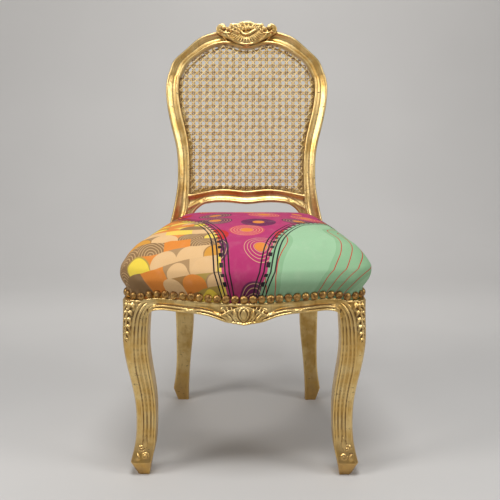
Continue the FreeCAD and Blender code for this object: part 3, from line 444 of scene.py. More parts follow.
class Nodes:
    """Short hand for wiring a node tree."""

    def __init__(self, tree: bpy.types.NodeTree) -> None:
        """Start on a tree."""
        self.tree = tree

    def add(self, kind: str, inputs: dict[str | int, object] | None = None, **settings: object) -> bpy.types.Node:
        """Add a node.

        Args:
            kind: the node's type name.
            inputs: value or source socket for each named or numbered input.
            **settings: the node's own properties.

        Returns:
            The node.
        """
        node = self.tree.nodes.new(kind)
        for name, value in settings.items():
            setattr(node, name, value)
        for name, value in (inputs or {}).items():
            if isinstance(value, Wire):
                self.tree.links.new(value, node.inputs[name])
            else:
                node.inputs[name].default_value = value
        return node

    def math(self, kind: str, first: object, second: object = 0.0, third: object = 0.0) -> Wire:
        """Return a Math node's result."""
        return self.add("ShaderNodeMath", {0: first, 1: second, 2: third}, operation=kind).outputs[0]

    def times(self, first: object, second: object) -> Wire:
        """Return a product."""
        return self.math("MULTIPLY", first, second)

    def vector_math(self, kind: str, first: object, second: object = (0.0, 0.0, 0.0)) -> Wire:
        """Return a Vector Math node's vector."""
        return self.add("ShaderNodeVectorMath", {0: first, 1: second}, operation=kind).outputs[0]

    def noise(self, place: object, scale: float, detail: float = 2.0, rough: float = 0.5,
              skew: float = 0.0) -> Wire:
        """Return a noise texture's value."""
        node = self.add("ShaderNodeTexNoise", {"Vector": place, "Scale": scale, "Detail": detail,
                                               "Roughness": rough, "Distortion": skew})
        return node.outputs["Fac"]

    def ramp(self, value: object, low: float, high: float) -> Wire:
        """Return a value's smooth rise from 0 at low to 1 at high."""
        node = self.add("ShaderNodeMapRange", {"Value": value, "From Min": low, "From Max": high},
                        interpolation_type="SMOOTHSTEP")
        return node.outputs["Result"]

    def mix(self, share: object, first: object, second: object) -> Wire:
        """Return a mix of two colours."""
        node = self.add("ShaderNodeMix", {"Factor": share}, data_type="RGBA")
        for slot, value in ((6, first), (7, second)):
            if isinstance(value, Wire):
                self.tree.links.new(value, node.inputs[slot])
            else:
                node.inputs[slot].default_value = (*value, 1.0)
        return node.outputs[2]

    def scaled(self, place: object, stretch: Sequence[float]) -> Wire:
        """Return a place with each axis stretched."""
        return self.add("ShaderNodeMapping", {"Vector": place, "Scale": tuple(stretch)}).outputs[0]

    def bump(self, height: object, strength: float, distance: float) -> Wire:
        """Return the normal of a bumped surface."""
        return self.add("ShaderNodeBump", {"Height": height, "Strength": strength,
                                           "Distance": distance}).outputs["Normal"]

    def group(self, tree: bpy.types.NodeTree, inputs: dict[str, object]) -> bpy.types.Node:
        """Place a node group with its own values."""
        return self.add("ShaderNodeGroup", inputs, node_tree=tree)


def new_group(name: str, inputs: dict[str, Socket],
              outputs: dict[str, Socket]) -> tuple[Nodes, bpy.types.Node, bpy.types.Node]:
    """Start a shader node group with named sockets.

    Args:
        name: the group's name.
        inputs: its inputs.
        outputs: its outputs.

    Returns:
        The tree's short hand, its input node and its output node.
    """
    tree = bpy.data.node_groups.new(name, "ShaderNodeTree")
    for label, kind in inputs.items():
        tree.interface.new_socket(name=label, in_out="INPUT", socket_type=kind.value)
    for label, kind in outputs.items():
        tree.interface.new_socket(name=label, in_out="OUTPUT", socket_type=kind.value)
    nodes = Nodes(tree)
    return nodes, nodes.add("NodeGroupInput"), nodes.add("NodeGroupOutput")


def new_material(name: str) -> tuple[bpy.types.Material, Nodes, bpy.types.Node]:
    """Start a material.

    Args:
        name: the material's name.

    Returns:
        The material, its tree's short hand and its surface shader.
    """
    material = bpy.data.materials.new(name)
    material.use_nodes = True
    nodes = Nodes(material.node_tree)
    return material, nodes, material.node_tree.nodes["Principled BSDF"]


def wire(nodes: Nodes, shader: bpy.types.Node, **sources: object) -> None:
    """Link sockets to, or set values on, a shader's inputs, with _ for each space in their names."""
    for label, value in sources.items():
        slot = shader.inputs[label.replace("_", " ")]
        if isinstance(value, Wire):
            nodes.tree.links.new(value, slot)
        else:
            slot.default_value = value


class SharedEffects:
    """Node groups that more than one finish uses."""

    def __init__(self) -> None:
        """Build each group once."""
        self.wear_and_shade_masks = self._wear_and_shade()
        self.weave = self._weave()
        self.wood = self._wood()

    @staticmethod
    def _wear_and_shade() -> bpy.types.NodeTree:
        """Build masks of wear on a leafed or metal surface, with painted shade in its hollows and a painted highlight
        on its edges, each partly real ground and rubbed leaf.
        """
        nodes, given, out = new_group(
            "wear_and_shade_on_metal",
            {"Place": Socket.VECTOR, "Hollow": Socket.VALUE, "Chips": Socket.VALUE},
            {"RecessAndShade": Socket.VALUE, "EdgeWearHighlight": Socket.VALUE, "Cloud": Socket.VALUE, "Chip": Socket.VALUE,
             "Height": Socket.VALUE})
        place = given.outputs["Place"]
        broad = nodes.noise(place, 26.0, 3.0, 0.55)
        fine = nodes.noise(place, 210.0, 4.0, 0.62)
        grain = nodes.noise(place, 820.0, 2.0, 0.6)
        shifted = nodes.math("MULTIPLY_ADD", nodes.math("SUBTRACT", broad, 0.5), 0.12, given.outputs["Hollow"])
        # painted shade in the hollows, partly real ground showing there; painted highlight on the edges, partly rubbed
        # leaf
        recess_and_shade = nodes.ramp(shifted, 0.05, 0.30)
        edge = nodes.ramp(nodes.times(shifted, -1.0), 0.06, 0.34)
        chip = nodes.times(nodes.ramp(fine, 0.64, 0.72), nodes.ramp(broad, 0.46, 0.66))
        chip = nodes.times(chip, given.outputs["Chips"])
        height = nodes.math("MULTIPLY_ADD", fine, 0.6, nodes.times(grain, 0.4))
        height = nodes.math("SUBTRACT", height, nodes.times(chip, 0.5))
        for label, source in (("RecessAndShade", recess_and_shade), ("EdgeWearHighlight", edge), ("Cloud", broad), ("Chip", chip), ("Height", height)):
            nodes.tree.links.new(source, out.inputs[label])
        return nodes.tree

    @staticmethod
    def _weave() -> bpy.types.NodeTree:
        """Build a plain weave: its height, and a mask of the gaps between threads."""
        nodes, given, out = new_group(
            "plain_weave",
            {"Place": Socket.VECTOR, "Threads": Socket.VALUE},
            {"Height": Socket.VALUE, "Gap": Socket.VALUE})
        parts = nodes.add("ShaderNodeSeparateXYZ", {0: given.outputs["Place"]})
        turn = nodes.times(given.outputs["Threads"], math.pi)
        wobble = nodes.noise(given.outputs["Place"], 90.0, 2.0)
        waves = []
        for axis in (0, 1):
            angle = nodes.math("MULTIPLY_ADD", parts.outputs[axis], turn, nodes.times(wobble, 1.2))
            waves.append(nodes.math("SINE", angle))
        height = nodes.times(waves[0], waves[1])
        gap = nodes.ramp(nodes.math("ABSOLUTE", height), 0.22, 0.0)
        nodes.tree.links.new(height, out.inputs["Height"])
        nodes.tree.links.new(gap, out.inputs["Gap"])
        return nodes.tree

    @staticmethod
    def _wood() -> bpy.types.NodeTree:
        """Build wood grain along the z axis: streaks and pores."""
        nodes, given, out = new_group(
            "bare_wood_grain",
            {"Place": Socket.VECTOR, "Stretch": Socket.VECTOR},
            {"Streak": Socket.VALUE, "Pore": Socket.VALUE})
        place = nodes.vector_math("MULTIPLY", given.outputs["Place"], given.outputs["Stretch"])
        streak = nodes.noise(place, 60.0, 4.0, 0.6, 0.4)
        pore = nodes.ramp(nodes.noise(place, 420.0, 2.0, 0.7), 0.6, 0.75)
        nodes.tree.links.new(streak, out.inputs["Streak"])
        nodes.tree.links.new(pore, out.inputs["Pore"])
        return nodes.tree


@dataclass(frozen=True)
class GoldLeaf:
    """Old gold leaf over a red-brown ground, brightened on the edges by rubbing and a painted highlight, and darkened
    by painted shade over the ground in the hollows and towards the floor.
    """

    name: str = "old_gold_leaf"
    bright: Colour = (0.84, 0.62, 0.27)
    body: Colour = (0.66, 0.41, 0.12)
    tarnish_and_shade: Colour = (0.40, 0.20, 0.05)
    copper: Colour = (0.62, 0.34, 0.11)
    ground: Colour = (0.10, 0.045, 0.014)
    rough: float = 0.33
    chips: float = 0.8

    def build(self, shared: SharedEffects) -> bpy.types.Material:
        """Make the material.

        Args:
            shared: the node groups.

        Returns:
            The material.
        """
        material, nodes, shader = new_material(self.name)
        place = nodes.add("ShaderNodeTexCoord").outputs["Object"]
        hollow = nodes.add("ShaderNodeAttribute", attribute_name="hollow").outputs["Fac"]
        warm = nodes.add("ShaderNodeAttribute", attribute_name="warm").outputs["Fac"]
        wear_shade = nodes.group(shared.wear_and_shade_masks, {"Place": place, "Hollow": hollow, "Chips": self.chips})
        recess_and_shade, edge, cloud, chip = (wear_shade.outputs[label] for label in ("RecessAndShade", "EdgeWearHighlight", "Cloud", "Chip"))
        streak = nodes.noise(nodes.scaled(place, (1.0, 1.0, 0.14)), 170.0, 3.0, 0.6)
        colour = nodes.mix(nodes.ramp(cloud, 0.36, 0.62), self.body, self.bright)
        colour = nodes.mix(nodes.times(nodes.ramp(streak, 0.52, 0.74), 0.5), colour, self.tarnish_and_shade)
        colour = nodes.mix(nodes.times(warm, nodes.ramp(streak, 0.32, 1.5)), colour, self.copper)
        nick = nodes.ramp(nodes.noise(nodes.scaled(place, (0.22, 0.22, 1.0)), 330.0, 2.0, 0.55, 0.6), 0.66, 0.70)
        chip = nodes.math("MAXIMUM", chip, nodes.times(nick, nodes.ramp(cloud, 0.48, 0.6)))
        # painted highlight on convex edges, partly rubbed leaf
        colour = nodes.mix(nodes.times(edge, 0.7), colour, self.bright)
        # painted shade in the hollows, partly the dark ground showing there
        colour = nodes.mix(nodes.times(recess_and_shade, 0.88), colour, self.ground)
        # painted shade: the gold darkens towards the floor, below 12 cm, in patches
        foot = nodes.add("ShaderNodeSeparateXYZ", {0: place}).outputs[2]
        low_shade = nodes.times(nodes.ramp(foot, 0.12, 0.0), nodes.ramp(cloud, 0.3, 0.6))
        colour = nodes.mix(nodes.times(low_shade, 0.75), colour, self.tarnish_and_shade)
        colour = nodes.mix(chip, colour, self.ground)
        dull = nodes.math("MAXIMUM", nodes.times(recess_and_shade, 0.6), chip)
        rough = nodes.math("MULTIPLY_ADD", cloud, 0.16, self.rough - 0.08)
        rough = nodes.math("MULTIPLY_ADD", dull, 0.28, rough)
        wire(nodes, shader, Base_Color=colour, Roughness=rough,
             Metallic=nodes.math("MULTIPLY_ADD", dull, -0.6, 0.92),
             Normal=nodes.bump(wear_shade.outputs["Height"], 0.30, 0.0009))
        return material


@dataclass(frozen=True)
class NailBrass:
    """Antiqued brass with a brown lacquer in spots and chips."""

    name: str = "antique_nail_brass"
    bright: Colour = (0.52, 0.31, 0.10)
    brown: Colour = (0.21, 0.095, 0.03)

    def build(self, shared: SharedEffects) -> bpy.types.Material:
        """Make the material.

        Args:
            shared: the node groups.

        Returns:
            The material.
        """
        material, nodes, shader = new_material(self.name)
        place = nodes.add("ShaderNodeTexCoord").outputs["Object"]
        wear_shade = nodes.group(shared.wear_and_shade_masks, {"Place": place, "Hollow": 0.0, "Chips": 0.8})
        spots = nodes.noise(place, 160.0, 3.0, 0.6)
        share = nodes.math("MAXIMUM", nodes.ramp(spots, 0.42, 0.62), wear_shade.outputs["Chip"])
        colour = nodes.mix(share, self.bright, self.brown)
        wire(nodes, shader, Base_Color=colour, Metallic=0.9,
             Roughness=nodes.math("MULTIPLY_ADD", share, 0.16, 0.40),
             Normal=nodes.bump(wear_shade.outputs["Height"], 0.25, 0.0008))
        return material


@dataclass(frozen=True)
class GiltCane:
    """Pale cane brushed with gold, with painted shade in red-brown where a strand dips, on its sides, near the frame
    and on the upright and crosswise strands.
    """

    name: str = "gilt_cane"
    pale: Colour = (0.95, 0.74, 0.36)
    gold: Colour = (0.72, 0.48, 0.15)
    shade_and_chip: Colour = (0.14, 0.065, 0.016)

    def build(self, shared: SharedEffects) -> bpy.types.Material:
        """Make the material.

        Args:
            shared: the node groups.

        Returns:
            The material.
        """
        material, nodes, shader = new_material(self.name)
        place = nodes.add("ShaderNodeTexCoord").outputs["Object"]
        shade = nodes.add("ShaderNodeAttribute", attribute_name="shade").outputs["Fac"]
        wear_shade = nodes.group(shared.wear_and_shade_masks, {"Place": place, "Hollow": 0.0, "Chips": 0.3})
        fibre = nodes.noise(nodes.scaled(place, (1.0, 1.0, 0.3)), 700.0, 2.0, 0.7)
        patch = nodes.noise(place, 120.0, 3.0, 0.6)
        colour = nodes.mix(nodes.ramp(patch, 0.40, 0.62), self.pale, self.gold)
        colour = nodes.mix(nodes.times(nodes.ramp(fibre, 0.4, 0.8), 0.3), colour, self.gold)
        # painted shade from the shade attribute, with random patches of tone
        shade_and_patches = nodes.math("ADD", shade, nodes.times(nodes.math("SUBTRACT", patch, 0.5), 0.3))
        colour = nodes.mix(nodes.ramp(shade_and_patches, 0.22, 0.95), colour, self.shade_and_chip)
        colour = nodes.mix(wear_shade.outputs["Chip"], colour, self.shade_and_chip)
        wire(nodes, shader, Base_Color=colour, Metallic=0.45,
             Roughness=nodes.math("MULTIPLY_ADD", fibre, 0.2, 0.34),
             Normal=nodes.bump(fibre, 0.3, 0.0004))
        return material


@dataclass(frozen=True)
class BareBeech:
    """Unfinished beech of the blocks and pegs."""

    name: str = "bare_beech"
    light: Colour = (0.55, 0.36, 0.19)
    dark: Colour = (0.34, 0.19, 0.085)
    stretch: tuple[float, float, float] = (0.22, 1.0, 1.0)

    def build(self, shared: SharedEffects) -> bpy.types.Material:
        """Make the material.

        Args:
            shared: the node groups.

        Returns:
            The material.
        """
        material, nodes, shader = new_material(self.name)
        place = nodes.add("ShaderNodeTexCoord").outputs["Object"]
        grain = nodes.group(shared.wood, {"Place": place, "Stretch": self.stretch})
        colour = nodes.mix(nodes.ramp(grain.outputs["Streak"], 0.3, 0.7), self.light, self.dark)
        colour = nodes.mix(nodes.times(grain.outputs["Pore"], 0.5), colour, (0.13, 0.07, 0.03))
        wire(nodes, shader, Base_Color=colour, Roughness=0.72,
             Normal=nodes.bump(grain.outputs["Streak"], 0.2, 0.0006))
        return material


@dataclass(frozen=True)
class Metalwork:
    """Plain worn metal for screws and tacks."""

    name: str
    colour: Colour
    stain: Colour
    rough: float

    def build(self, shared: SharedEffects) -> bpy.types.Material:
        """Make the material.

        Args:
            shared: the node groups.

        Returns:
            The material.
        """
        material, nodes, shader = new_material(self.name)
        place = nodes.add("ShaderNodeTexCoord").outputs["Object"]
        wear_shade = nodes.group(shared.wear_and_shade_masks, {"Place": place, "Hollow": 0.0, "Chips": 1.0})
        colour = nodes.mix(nodes.ramp(wear_shade.outputs["Cloud"], 0.4, 0.7), self.colour, self.stain)
        wire(nodes, shader, Base_Color=colour, Metallic=0.85,
             Roughness=nodes.math("MULTIPLY_ADD", wear_shade.outputs["Cloud"], 0.25, self.rough),
             Normal=nodes.bump(wear_shade.outputs["Height"], 0.2, 0.0004))
        return material


@dataclass(frozen=True)
class Sacking:
    """Coarse woven jute, for the straps and the cloth above them."""

    name: str
    light: Colour
    dark: Colour
    threads: float

    def build(self, shared: SharedEffects) -> bpy.types.Material:
        """Make the material.

        Args:
            shared: the node groups.

        Returns:
            The material.
        """
        material, nodes, shader = new_material(self.name)
        place = nodes.add("ShaderNodeTexCoord").outputs["Object"]
        weave = nodes.group(shared.weave, {"Place": place, "Threads": self.threads})
        slub = nodes.noise(nodes.scaled(place, (1.0, 0.2, 1.0)), 300.0, 3.0, 0.6)
        colour = nodes.mix(nodes.ramp(slub, 0.3, 0.72), self.light, self.dark)
        # painted shade: the gaps between threads are darkened
        colour = nodes.mix(nodes.times(weave.outputs["Gap"], 0.65), colour,
                           tuple(part * 0.35 for part in self.dark))
        wire(nodes, shader, Base_Color=colour, Roughness=0.93, Sheen_Weight=0.2,
             Normal=nodes.bump(weave.outputs["Height"], 0.7, 0.0007))
        return material


class ClothHue(Enum):
    """Inks of the seat's print."""

    LEMON = (0.80, 0.60, 0.07)
    OCHRE = (0.62, 0.29, 0.045)
    TANGERINE = (0.68, 0.23, 0.04)
    SAND = (0.70, 0.45, 0.22)
    UMBER = (0.26, 0.155, 0.07)
    MAGENTA = (0.42, 0.035, 0.14)
    ROSE = (0.56, 0.06, 0.11)
    PLUM = (0.14, 0.02, 0.08)
    SCARLET = (0.50, 0.025, 0.025)
    MINT = (0.25, 0.44, 0.25)
    PALE_MINT = (0.31, 0.51, 0.31)
    INK = (0.018, 0.015, 0.018)


@dataclass(frozen=True)
class SeatPrint:
    """Printed cotton: three colour fields divided by dark ribbons, each with its own small pattern.

    The warm field on the left has overlapping scales, the middle has ringed discs and the green one
    on the right has red wave lines. Lengths are in metres on the cloth.
    """

    name: str = "printed_cotton"
    scale_size: float = 0.052
    disc_size: float = 0.085
    wave_gap: float = 0.021

    def _scales(self, nodes: Nodes, along: object, across: object) -> object:
        """Draw rows of overlapping scales, each in one of five warm inks.

        Args:
            nodes: the material's tree.
            along: place along the rows.
            across: place across the rows.

        Returns:
            The colour.
        """
        size = self.scale_size
        layers = []
        for shift in (0.0, 1.0):
            row_place = nodes.math("MULTIPLY_ADD", across, 1.0 / size, shift * 0.5)
            row = nodes.math("FLOOR", row_place)
            column_place = nodes.math("MULTIPLY_ADD", along, 1.0 / size, shift * 0.5)
            column = nodes.math("FLOOR", column_place)
            local_x = nodes.math("SUBTRACT", nodes.math("SUBTRACT", column_place, column), 0.5)
            local_y = nodes.math("SUBTRACT", row_place, row)
            distance = nodes.math("SQRT", nodes.math("ADD", nodes.times(local_x, local_x),
                                                     nodes.times(local_y, local_y)))
            key = nodes.add("ShaderNodeCombineXYZ", {0: column, 1: row, 2: shift * 7.0 + 0.5}).outputs[0]
            pick_one = nodes.add("ShaderNodeTexWhiteNoise", {0: key}, noise_dimensions="3D").outputs["Value"]
            inside = nodes.ramp(distance, 0.53, 0.515)
            layers.append((inside, pick_one, distance))
        colours = []
        for _, pick_one, distance in layers:
            tone = self._pick(nodes, pick_one, (ClothHue.LEMON, ClothHue.OCHRE, ClothHue.SAND, ClothHue.TANGERINE,
                                                ClothHue.UMBER, ClothHue.LEMON, ClothHue.SAND))
            rings = nodes.math("SINE", nodes.times(distance, 62.0))
            drawn = nodes.times(nodes.ramp(rings, 0.35, 0.75), nodes.ramp(pick_one, 0.58, 0.6))
            tone = nodes.mix(nodes.times(drawn, 0.6), tone, ClothHue.SAND.value)
            rim = nodes.times(nodes.ramp(distance, 0.46, 0.475), nodes.ramp(pick_one, 0.4, 0.38))
            tone = nodes.mix(nodes.times(rim, 0.7), tone, ClothHue.UMBER.value)
            colours.append(tone)
        return nodes.mix(layers[1][0], colours[0], colours[1])

    @staticmethod
    def _pick(nodes: Nodes, share: object, hues: Sequence[ClothHue]) -> object:
        """Return one of several hues by a share from 0 to 1."""
        ramp = nodes.add("ShaderNodeValToRGB", {0: share})
        ramp.color_ramp.interpolation = "CONSTANT"
        points = ramp.color_ramp.elements
        while len(points) < len(hues):
            points.new(0.5)
        for index, hue in enumerate(hues):
            points[index].position = index / len(hues)
            points[index].color = (*hue.value, 1.0)
        return ramp.outputs["Color"]

    def _discs(self, nodes: Nodes, place: object) -> object:
        """Draw large discs of pinks and reds with rings inside them.

        Args:
            nodes: the material's tree.
            place: place on the cloth.

        Returns:
            The colour.
        """
        cells = nodes.add("ShaderNodeTexVoronoi", {"Vector": place, "Scale": 1.0 / self.disc_size,
                                                   "Randomness": 0.55}, voronoi_dimensions="2D")
        distance = cells.outputs["Distance"]
        key = nodes.add("ShaderNodeSeparateColor", {0: cells.outputs["Color"]})
        tone = self._pick(nodes, key.outputs[0], (ClothHue.ROSE, ClothHue.SCARLET, ClothHue.PLUM, ClothHue.MAGENTA,
                                                  ClothHue.ROSE))
        disc = nodes.ramp(distance, 0.43, 0.42)
        rings = nodes.math("SINE", nodes.times(distance, 88.0))
        ring = nodes.times(nodes.ramp(rings, 0.72, 0.9), nodes.ramp(key.outputs[1], 0.4, 0.42))
        tone = nodes.mix(nodes.times(ring, 0.75), tone, ClothHue.SAND.value)
        core = nodes.ramp(distance, 0.15, 0.14)
        tone = nodes.mix(core, tone, ClothHue.TANGERINE.value)
        return nodes.mix(disc, ClothHue.MAGENTA.value, tone)

    def _waves(self, nodes: Nodes, along: object, across: object) -> object:
        """Draw red wave lines on two greens.

        Args:
            nodes: the material's tree.
            along: place along the lines.
            across: place across them.

        Returns:
            The colour.
        """
        bend = nodes.times(nodes.math("SINE", nodes.times(along, 42.0)), 0.011)
        phase = nodes.times(nodes.math("ADD", across, bend), 1.0 / self.wave_gap)
        saw = nodes.math("ABSOLUTE", nodes.math("SUBTRACT", nodes.math("FRACT", phase), 0.5))
        line = nodes.ramp(saw, 0.055, 0.03)
        count = nodes.math("FLOOR", nodes.times(phase, 0.25))
        row = nodes.math("FRACT", nodes.times(count, 0.5))
        green = nodes.mix(nodes.ramp(row, 0.2, 0.3), ClothHue.MINT.value, ClothHue.PALE_MINT.value)
        return nodes.mix(nodes.times(line, nodes.ramp(row, 0.3, 0.2)), green, ClothHue.SCARLET.value)

    def build(self, shared: SharedEffects) -> bpy.types.Material:
        """Make the material.

        Args:
            shared: the node groups.

        Returns:
            The material.
        """
        material, nodes, shader = new_material(self.name)
        place = nodes.add("ShaderNodeAttribute", attribute_name="cloth").outputs["Vector"]
        parts = nodes.add("ShaderNodeSeparateXYZ", {0: place})
        u, v = parts.outputs[0], parts.outputs[1]
        sway = nodes.times(nodes.math("SINE", nodes.math("MULTIPLY_ADD", v, 15.0, 0.6)), 0.014)
        left_border = nodes.math("ADD", nodes.math("MULTIPLY_ADD", v, 0.30, u), nodes.math("ADD", sway, 0.118))
        right_border = nodes.math("SUBTRACT", nodes.math("MULTIPLY_ADD", v, -0.42, u), nodes.math("ADD", sway, 0.152))
        warm = nodes.ramp(left_border, 0.0004, -0.0004)
        green = nodes.ramp(right_border, -0.0004, 0.0004)
        colour = nodes.mix(warm, self._discs(nodes, place), self._scales(nodes, u, v))
        colour = nodes.mix(green, colour, self._waves(nodes, v, u))
        for border in (left_border, right_border):
            off = nodes.math("ABSOLUTE", border)
            for low, high in ((0.0050, 0.0078), (0.0130, 0.0158)):
                band = nodes.times(nodes.ramp(off, low - 0.0004, low + 0.0002),
                                  nodes.ramp(off, high + 0.0004, high - 0.0002))
                colour = nodes.mix(band, colour, ClothHue.INK.value)
            beads = nodes.math("SINE", nodes.times(v, math.tau / 0.017))
            dot = nodes.times(nodes.ramp(off, 0.0042, 0.0034), nodes.ramp(beads, 0.15, 0.3))
            colour = nodes.mix(dot, colour, ClothHue.INK.value)
        fade = nodes.noise(place, 40.0, 3.0)
        colour = nodes.mix(nodes.times(nodes.ramp(fade, 0.45, 0.8), 0.06), colour, (0.8, 0.72, 0.6))
        weave = nodes.group(shared.weave, {"Place": place, "Threads": 1500.0})
        # painted shade: the gaps between threads are darkened
        colour = nodes.mix(nodes.times(weave.outputs["Gap"], 0.14), colour, (0.12, 0.09, 0.07))
        wire(nodes, shader, Base_Color=colour, Roughness=0.9, Sheen_Weight=0.03, Specular_IOR_Level=0.12,
             Normal=nodes.bump(weave.outputs["Height"], 0.25, 0.00035))
        return material


class Finishes:
    """All finishes of the chair, each built once."""

    def __init__(self) -> None:
        """Build the shared effects and the materials."""
        shared = SharedEffects()
        self.gold = GoldLeaf().build(shared)
        self.brass = NailBrass().build(shared)
        self.cane = GiltCane().build(shared)
        self.beech = BareBeech().build(shared)
        self.screw = Metalwork("screw_steel", (0.42, 0.41, 0.39), (0.2, 0.14, 0.09), 0.34).build(shared)
        self.tack = Metalwork("blued_tack_steel", (0.045, 0.05, 0.065), (0.02, 0.02, 0.022), 0.3).build(shared)
        self.jute = Sacking("jute_webbing", (0.50, 0.35, 0.19), (0.29, 0.18, 0.085), 520.0).build(shared)
        self.hessian = Sacking("hessian", (0.56, 0.42, 0.25), (0.36, 0.24, 0.13), 900.0).build(shared)
        self.print = SeatPrint().build(shared)


# The carved and gilded frame

class Carver:
    """Ornament laid on a blank."""

    def carve(self, skin: Skin) -> list[Thing]:
        """Carve the ornament; plain wood has none."""
        return []


@dataclass
class LegCarver(Carver):
    """Front leg: reeds that sweep down from the rail, husks on the knee and scrolls on the toe."""

    node: str
    side: int
    reed_shares: tuple[float, ...] = (0.31, 0.46, 0.65, 0.83)
    reed_radius: float = 0.0015
    sweep_radius: float = 0.0021
    reed_low: float = 0.070
    knee_foot: float = 0.226
    sweeps: tuple[tuple[tuple[float, float], ...], ...] = (
        ((0.1821, 0.3670), (0.1902, 0.3652), (0.1972, 0.3628), (0.2032, 0.3566), (0.2094, 0.3465), (0.2141, 0.3324),
         (0.2163, 0.3201), (0.2175, 0.3060)),
        ((0.1700, 0.3650), (0.1781, 0.3642), (0.1868, 0.3615), (0.1943, 0.3547), (0.2025, 0.3425), (0.2066, 0.3322),
         (0.2089, 0.3201), (0.2101, 0.3060)),
        ((0.1690, 0.3608), (0.1762, 0.3600), (0.1833, 0.3579), (0.1905, 0.3517), (0.1965, 0.3422), (0.2000, 0.3318),
         (0.2019, 0.3199), (0.2029, 0.3060)))

    def _across(self, skin: Skin, z: float, share: float) -> Meeting:
        """Point on the front face at a share of its width from the outer side."""
        low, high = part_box(self.node)
        span = skin.span((low[1] + high[1]) / 2.0, z, self.side)
        if span is None:
            return None
        outer, inner = span
        return skin.from_front(outer + (inner - outer) * share, z)

    def _reed(self, skin: Skin, share: float, top: float, sweep: Line = ()) -> list[Thing]:
        """Carve one reed from its sweep on the rail down to the ankle.

        Args:
            skin: the blank's surface.
            share: its place across the leg.
            top: the level at which it starts to follow the leg.
            sweep: places on the rail and the knee before that, across and up.

        Returns:
            The reed.
        """
        points = []
        start = share
        for x, z in sweep:
            met = skin.from_front(self.side * x, z)
            if met:
                points.append(met[0])
        if sweep:
            low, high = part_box(self.node)
            outer, inner = skin.span((low[1] + high[1]) / 2.0, sweep[-1][1], self.side)
            start = (self.side * sweep[-1][0] - outer) / (inner - outer)
        knee = len(points)
        steps = 16
        for step in range(steps + 1):
            level = top + (self.reed_low - top) * step / steps
            drift = max(0.0, (level - self.knee_foot) / (top - self.knee_foot))
            met = self._across(skin, level, share + (start - share) * drift)
            if met:
                points.append(met[0])
        if len(points) < 5:
            return []
        radii = [self.sweep_radius] * knee + [self.reed_radius] * (len(points) - knee)
        radii[0] = radii[-1] = self.reed_radius * 0.4
        return [bead(points, radii, 3)]

    def carve(self, skin: Skin) -> list[Thing]:
        """Carve the reeds, the husks and the foot's scrolls.

        Args:
            skin: the blank's surface.

        Returns:
            The carved parts.
        """
        parts = []
        for share, sweep in zip(self.reed_shares, self.sweeps):
            parts += self._reed(skin, share, 0.294, sweep)
        parts += self._reed(skin, self.reed_shares[3], 0.338)
        parts += self._reed(skin, 0.10, 0.262)
        parts += self._reed(skin, 0.95, 0.344)
        return parts + self._husks(skin) + self._foot(skin)

    def _husks(self, skin: Skin) -> list[Thing]:
        """Carve a drop of leaves and berries down the knee's outer corner.

        Args:
            skin: the blank's surface.

        Returns:
            The carved parts.
        """
        parts = []
        up = Vector((0.0, 0.0, 1.0))
        rows = ((0.3570, 0.0130, 0.0125, 0.25), (0.3430, 0.0105, 0.0115, 0.20), (0.3290, 0.0095, 0.0120, 0.18),
                (0.3150, 0.0080, 0.0110, 0.17), (0.3020, 0.0070, 0.0100, 0.16), (0.2900, 0.0055, 0.0095, 0.15))
        for z, width, length, share in rows:
            met = self._across(skin, z, share)
            if met is None:
                continue
            place, normal = met
            side = up.cross(normal).normalized()
            for hand in (-1, 1):
                root = place + side * (hand * width * 0.25) + up * (length * 0.35)
                tip = place + side * (hand * width * 0.85) - up * (length * 0.55)
                tip_met = skin.meet(tip + normal * 0.05, -normal)
                parts.append(petal(root, tip_met[0] if tip_met else tip, normal, width * 0.36, 0.0036))
            parts.append(petal(place + up * (length * 0.5), place - up * (length * 0.75), normal, width * 0.30, 0.0044))
            parts.append(knob(place + up * (length * 0.60) + normal * 0.0020, (0.0025, 0.0025, 0.0025)))
        return parts

    def _foot(self, skin: Skin) -> list[Thing]:
        """Carve the scrolls on the toe and the leaf above them.

        Args:
            skin: the blank's surface.

        Returns:
            The carved parts.
        """
        parts = []
        up = Vector((0.0, 0.0, 1.0))
        for share, hand, z, radius in ((0.38, 1, 0.058, 0.0085), (0.62, -1, 0.043, 0.0075)):
            met = self._across(skin, z, share)
            if met is None:
                continue
            place, normal = met
            side = up.cross(normal).normalized()
            parts.append(scroll(place, side, normal.cross(side), radius, 1.35, 0.0016, hand * self.side))
        for low_share, high_share, low_z, high_z in ((0.52, 0.50, 0.058, 0.082), (0.34, 0.24, 0.034, 0.048)):
            low = self._across(skin, low_z, low_share)
            high = self._across(skin, high_z, high_share)
            if low and high:
                parts.append(petal(low[0], high[0], low[1], 0.0036, 0.0022, 0.8))
        return parts


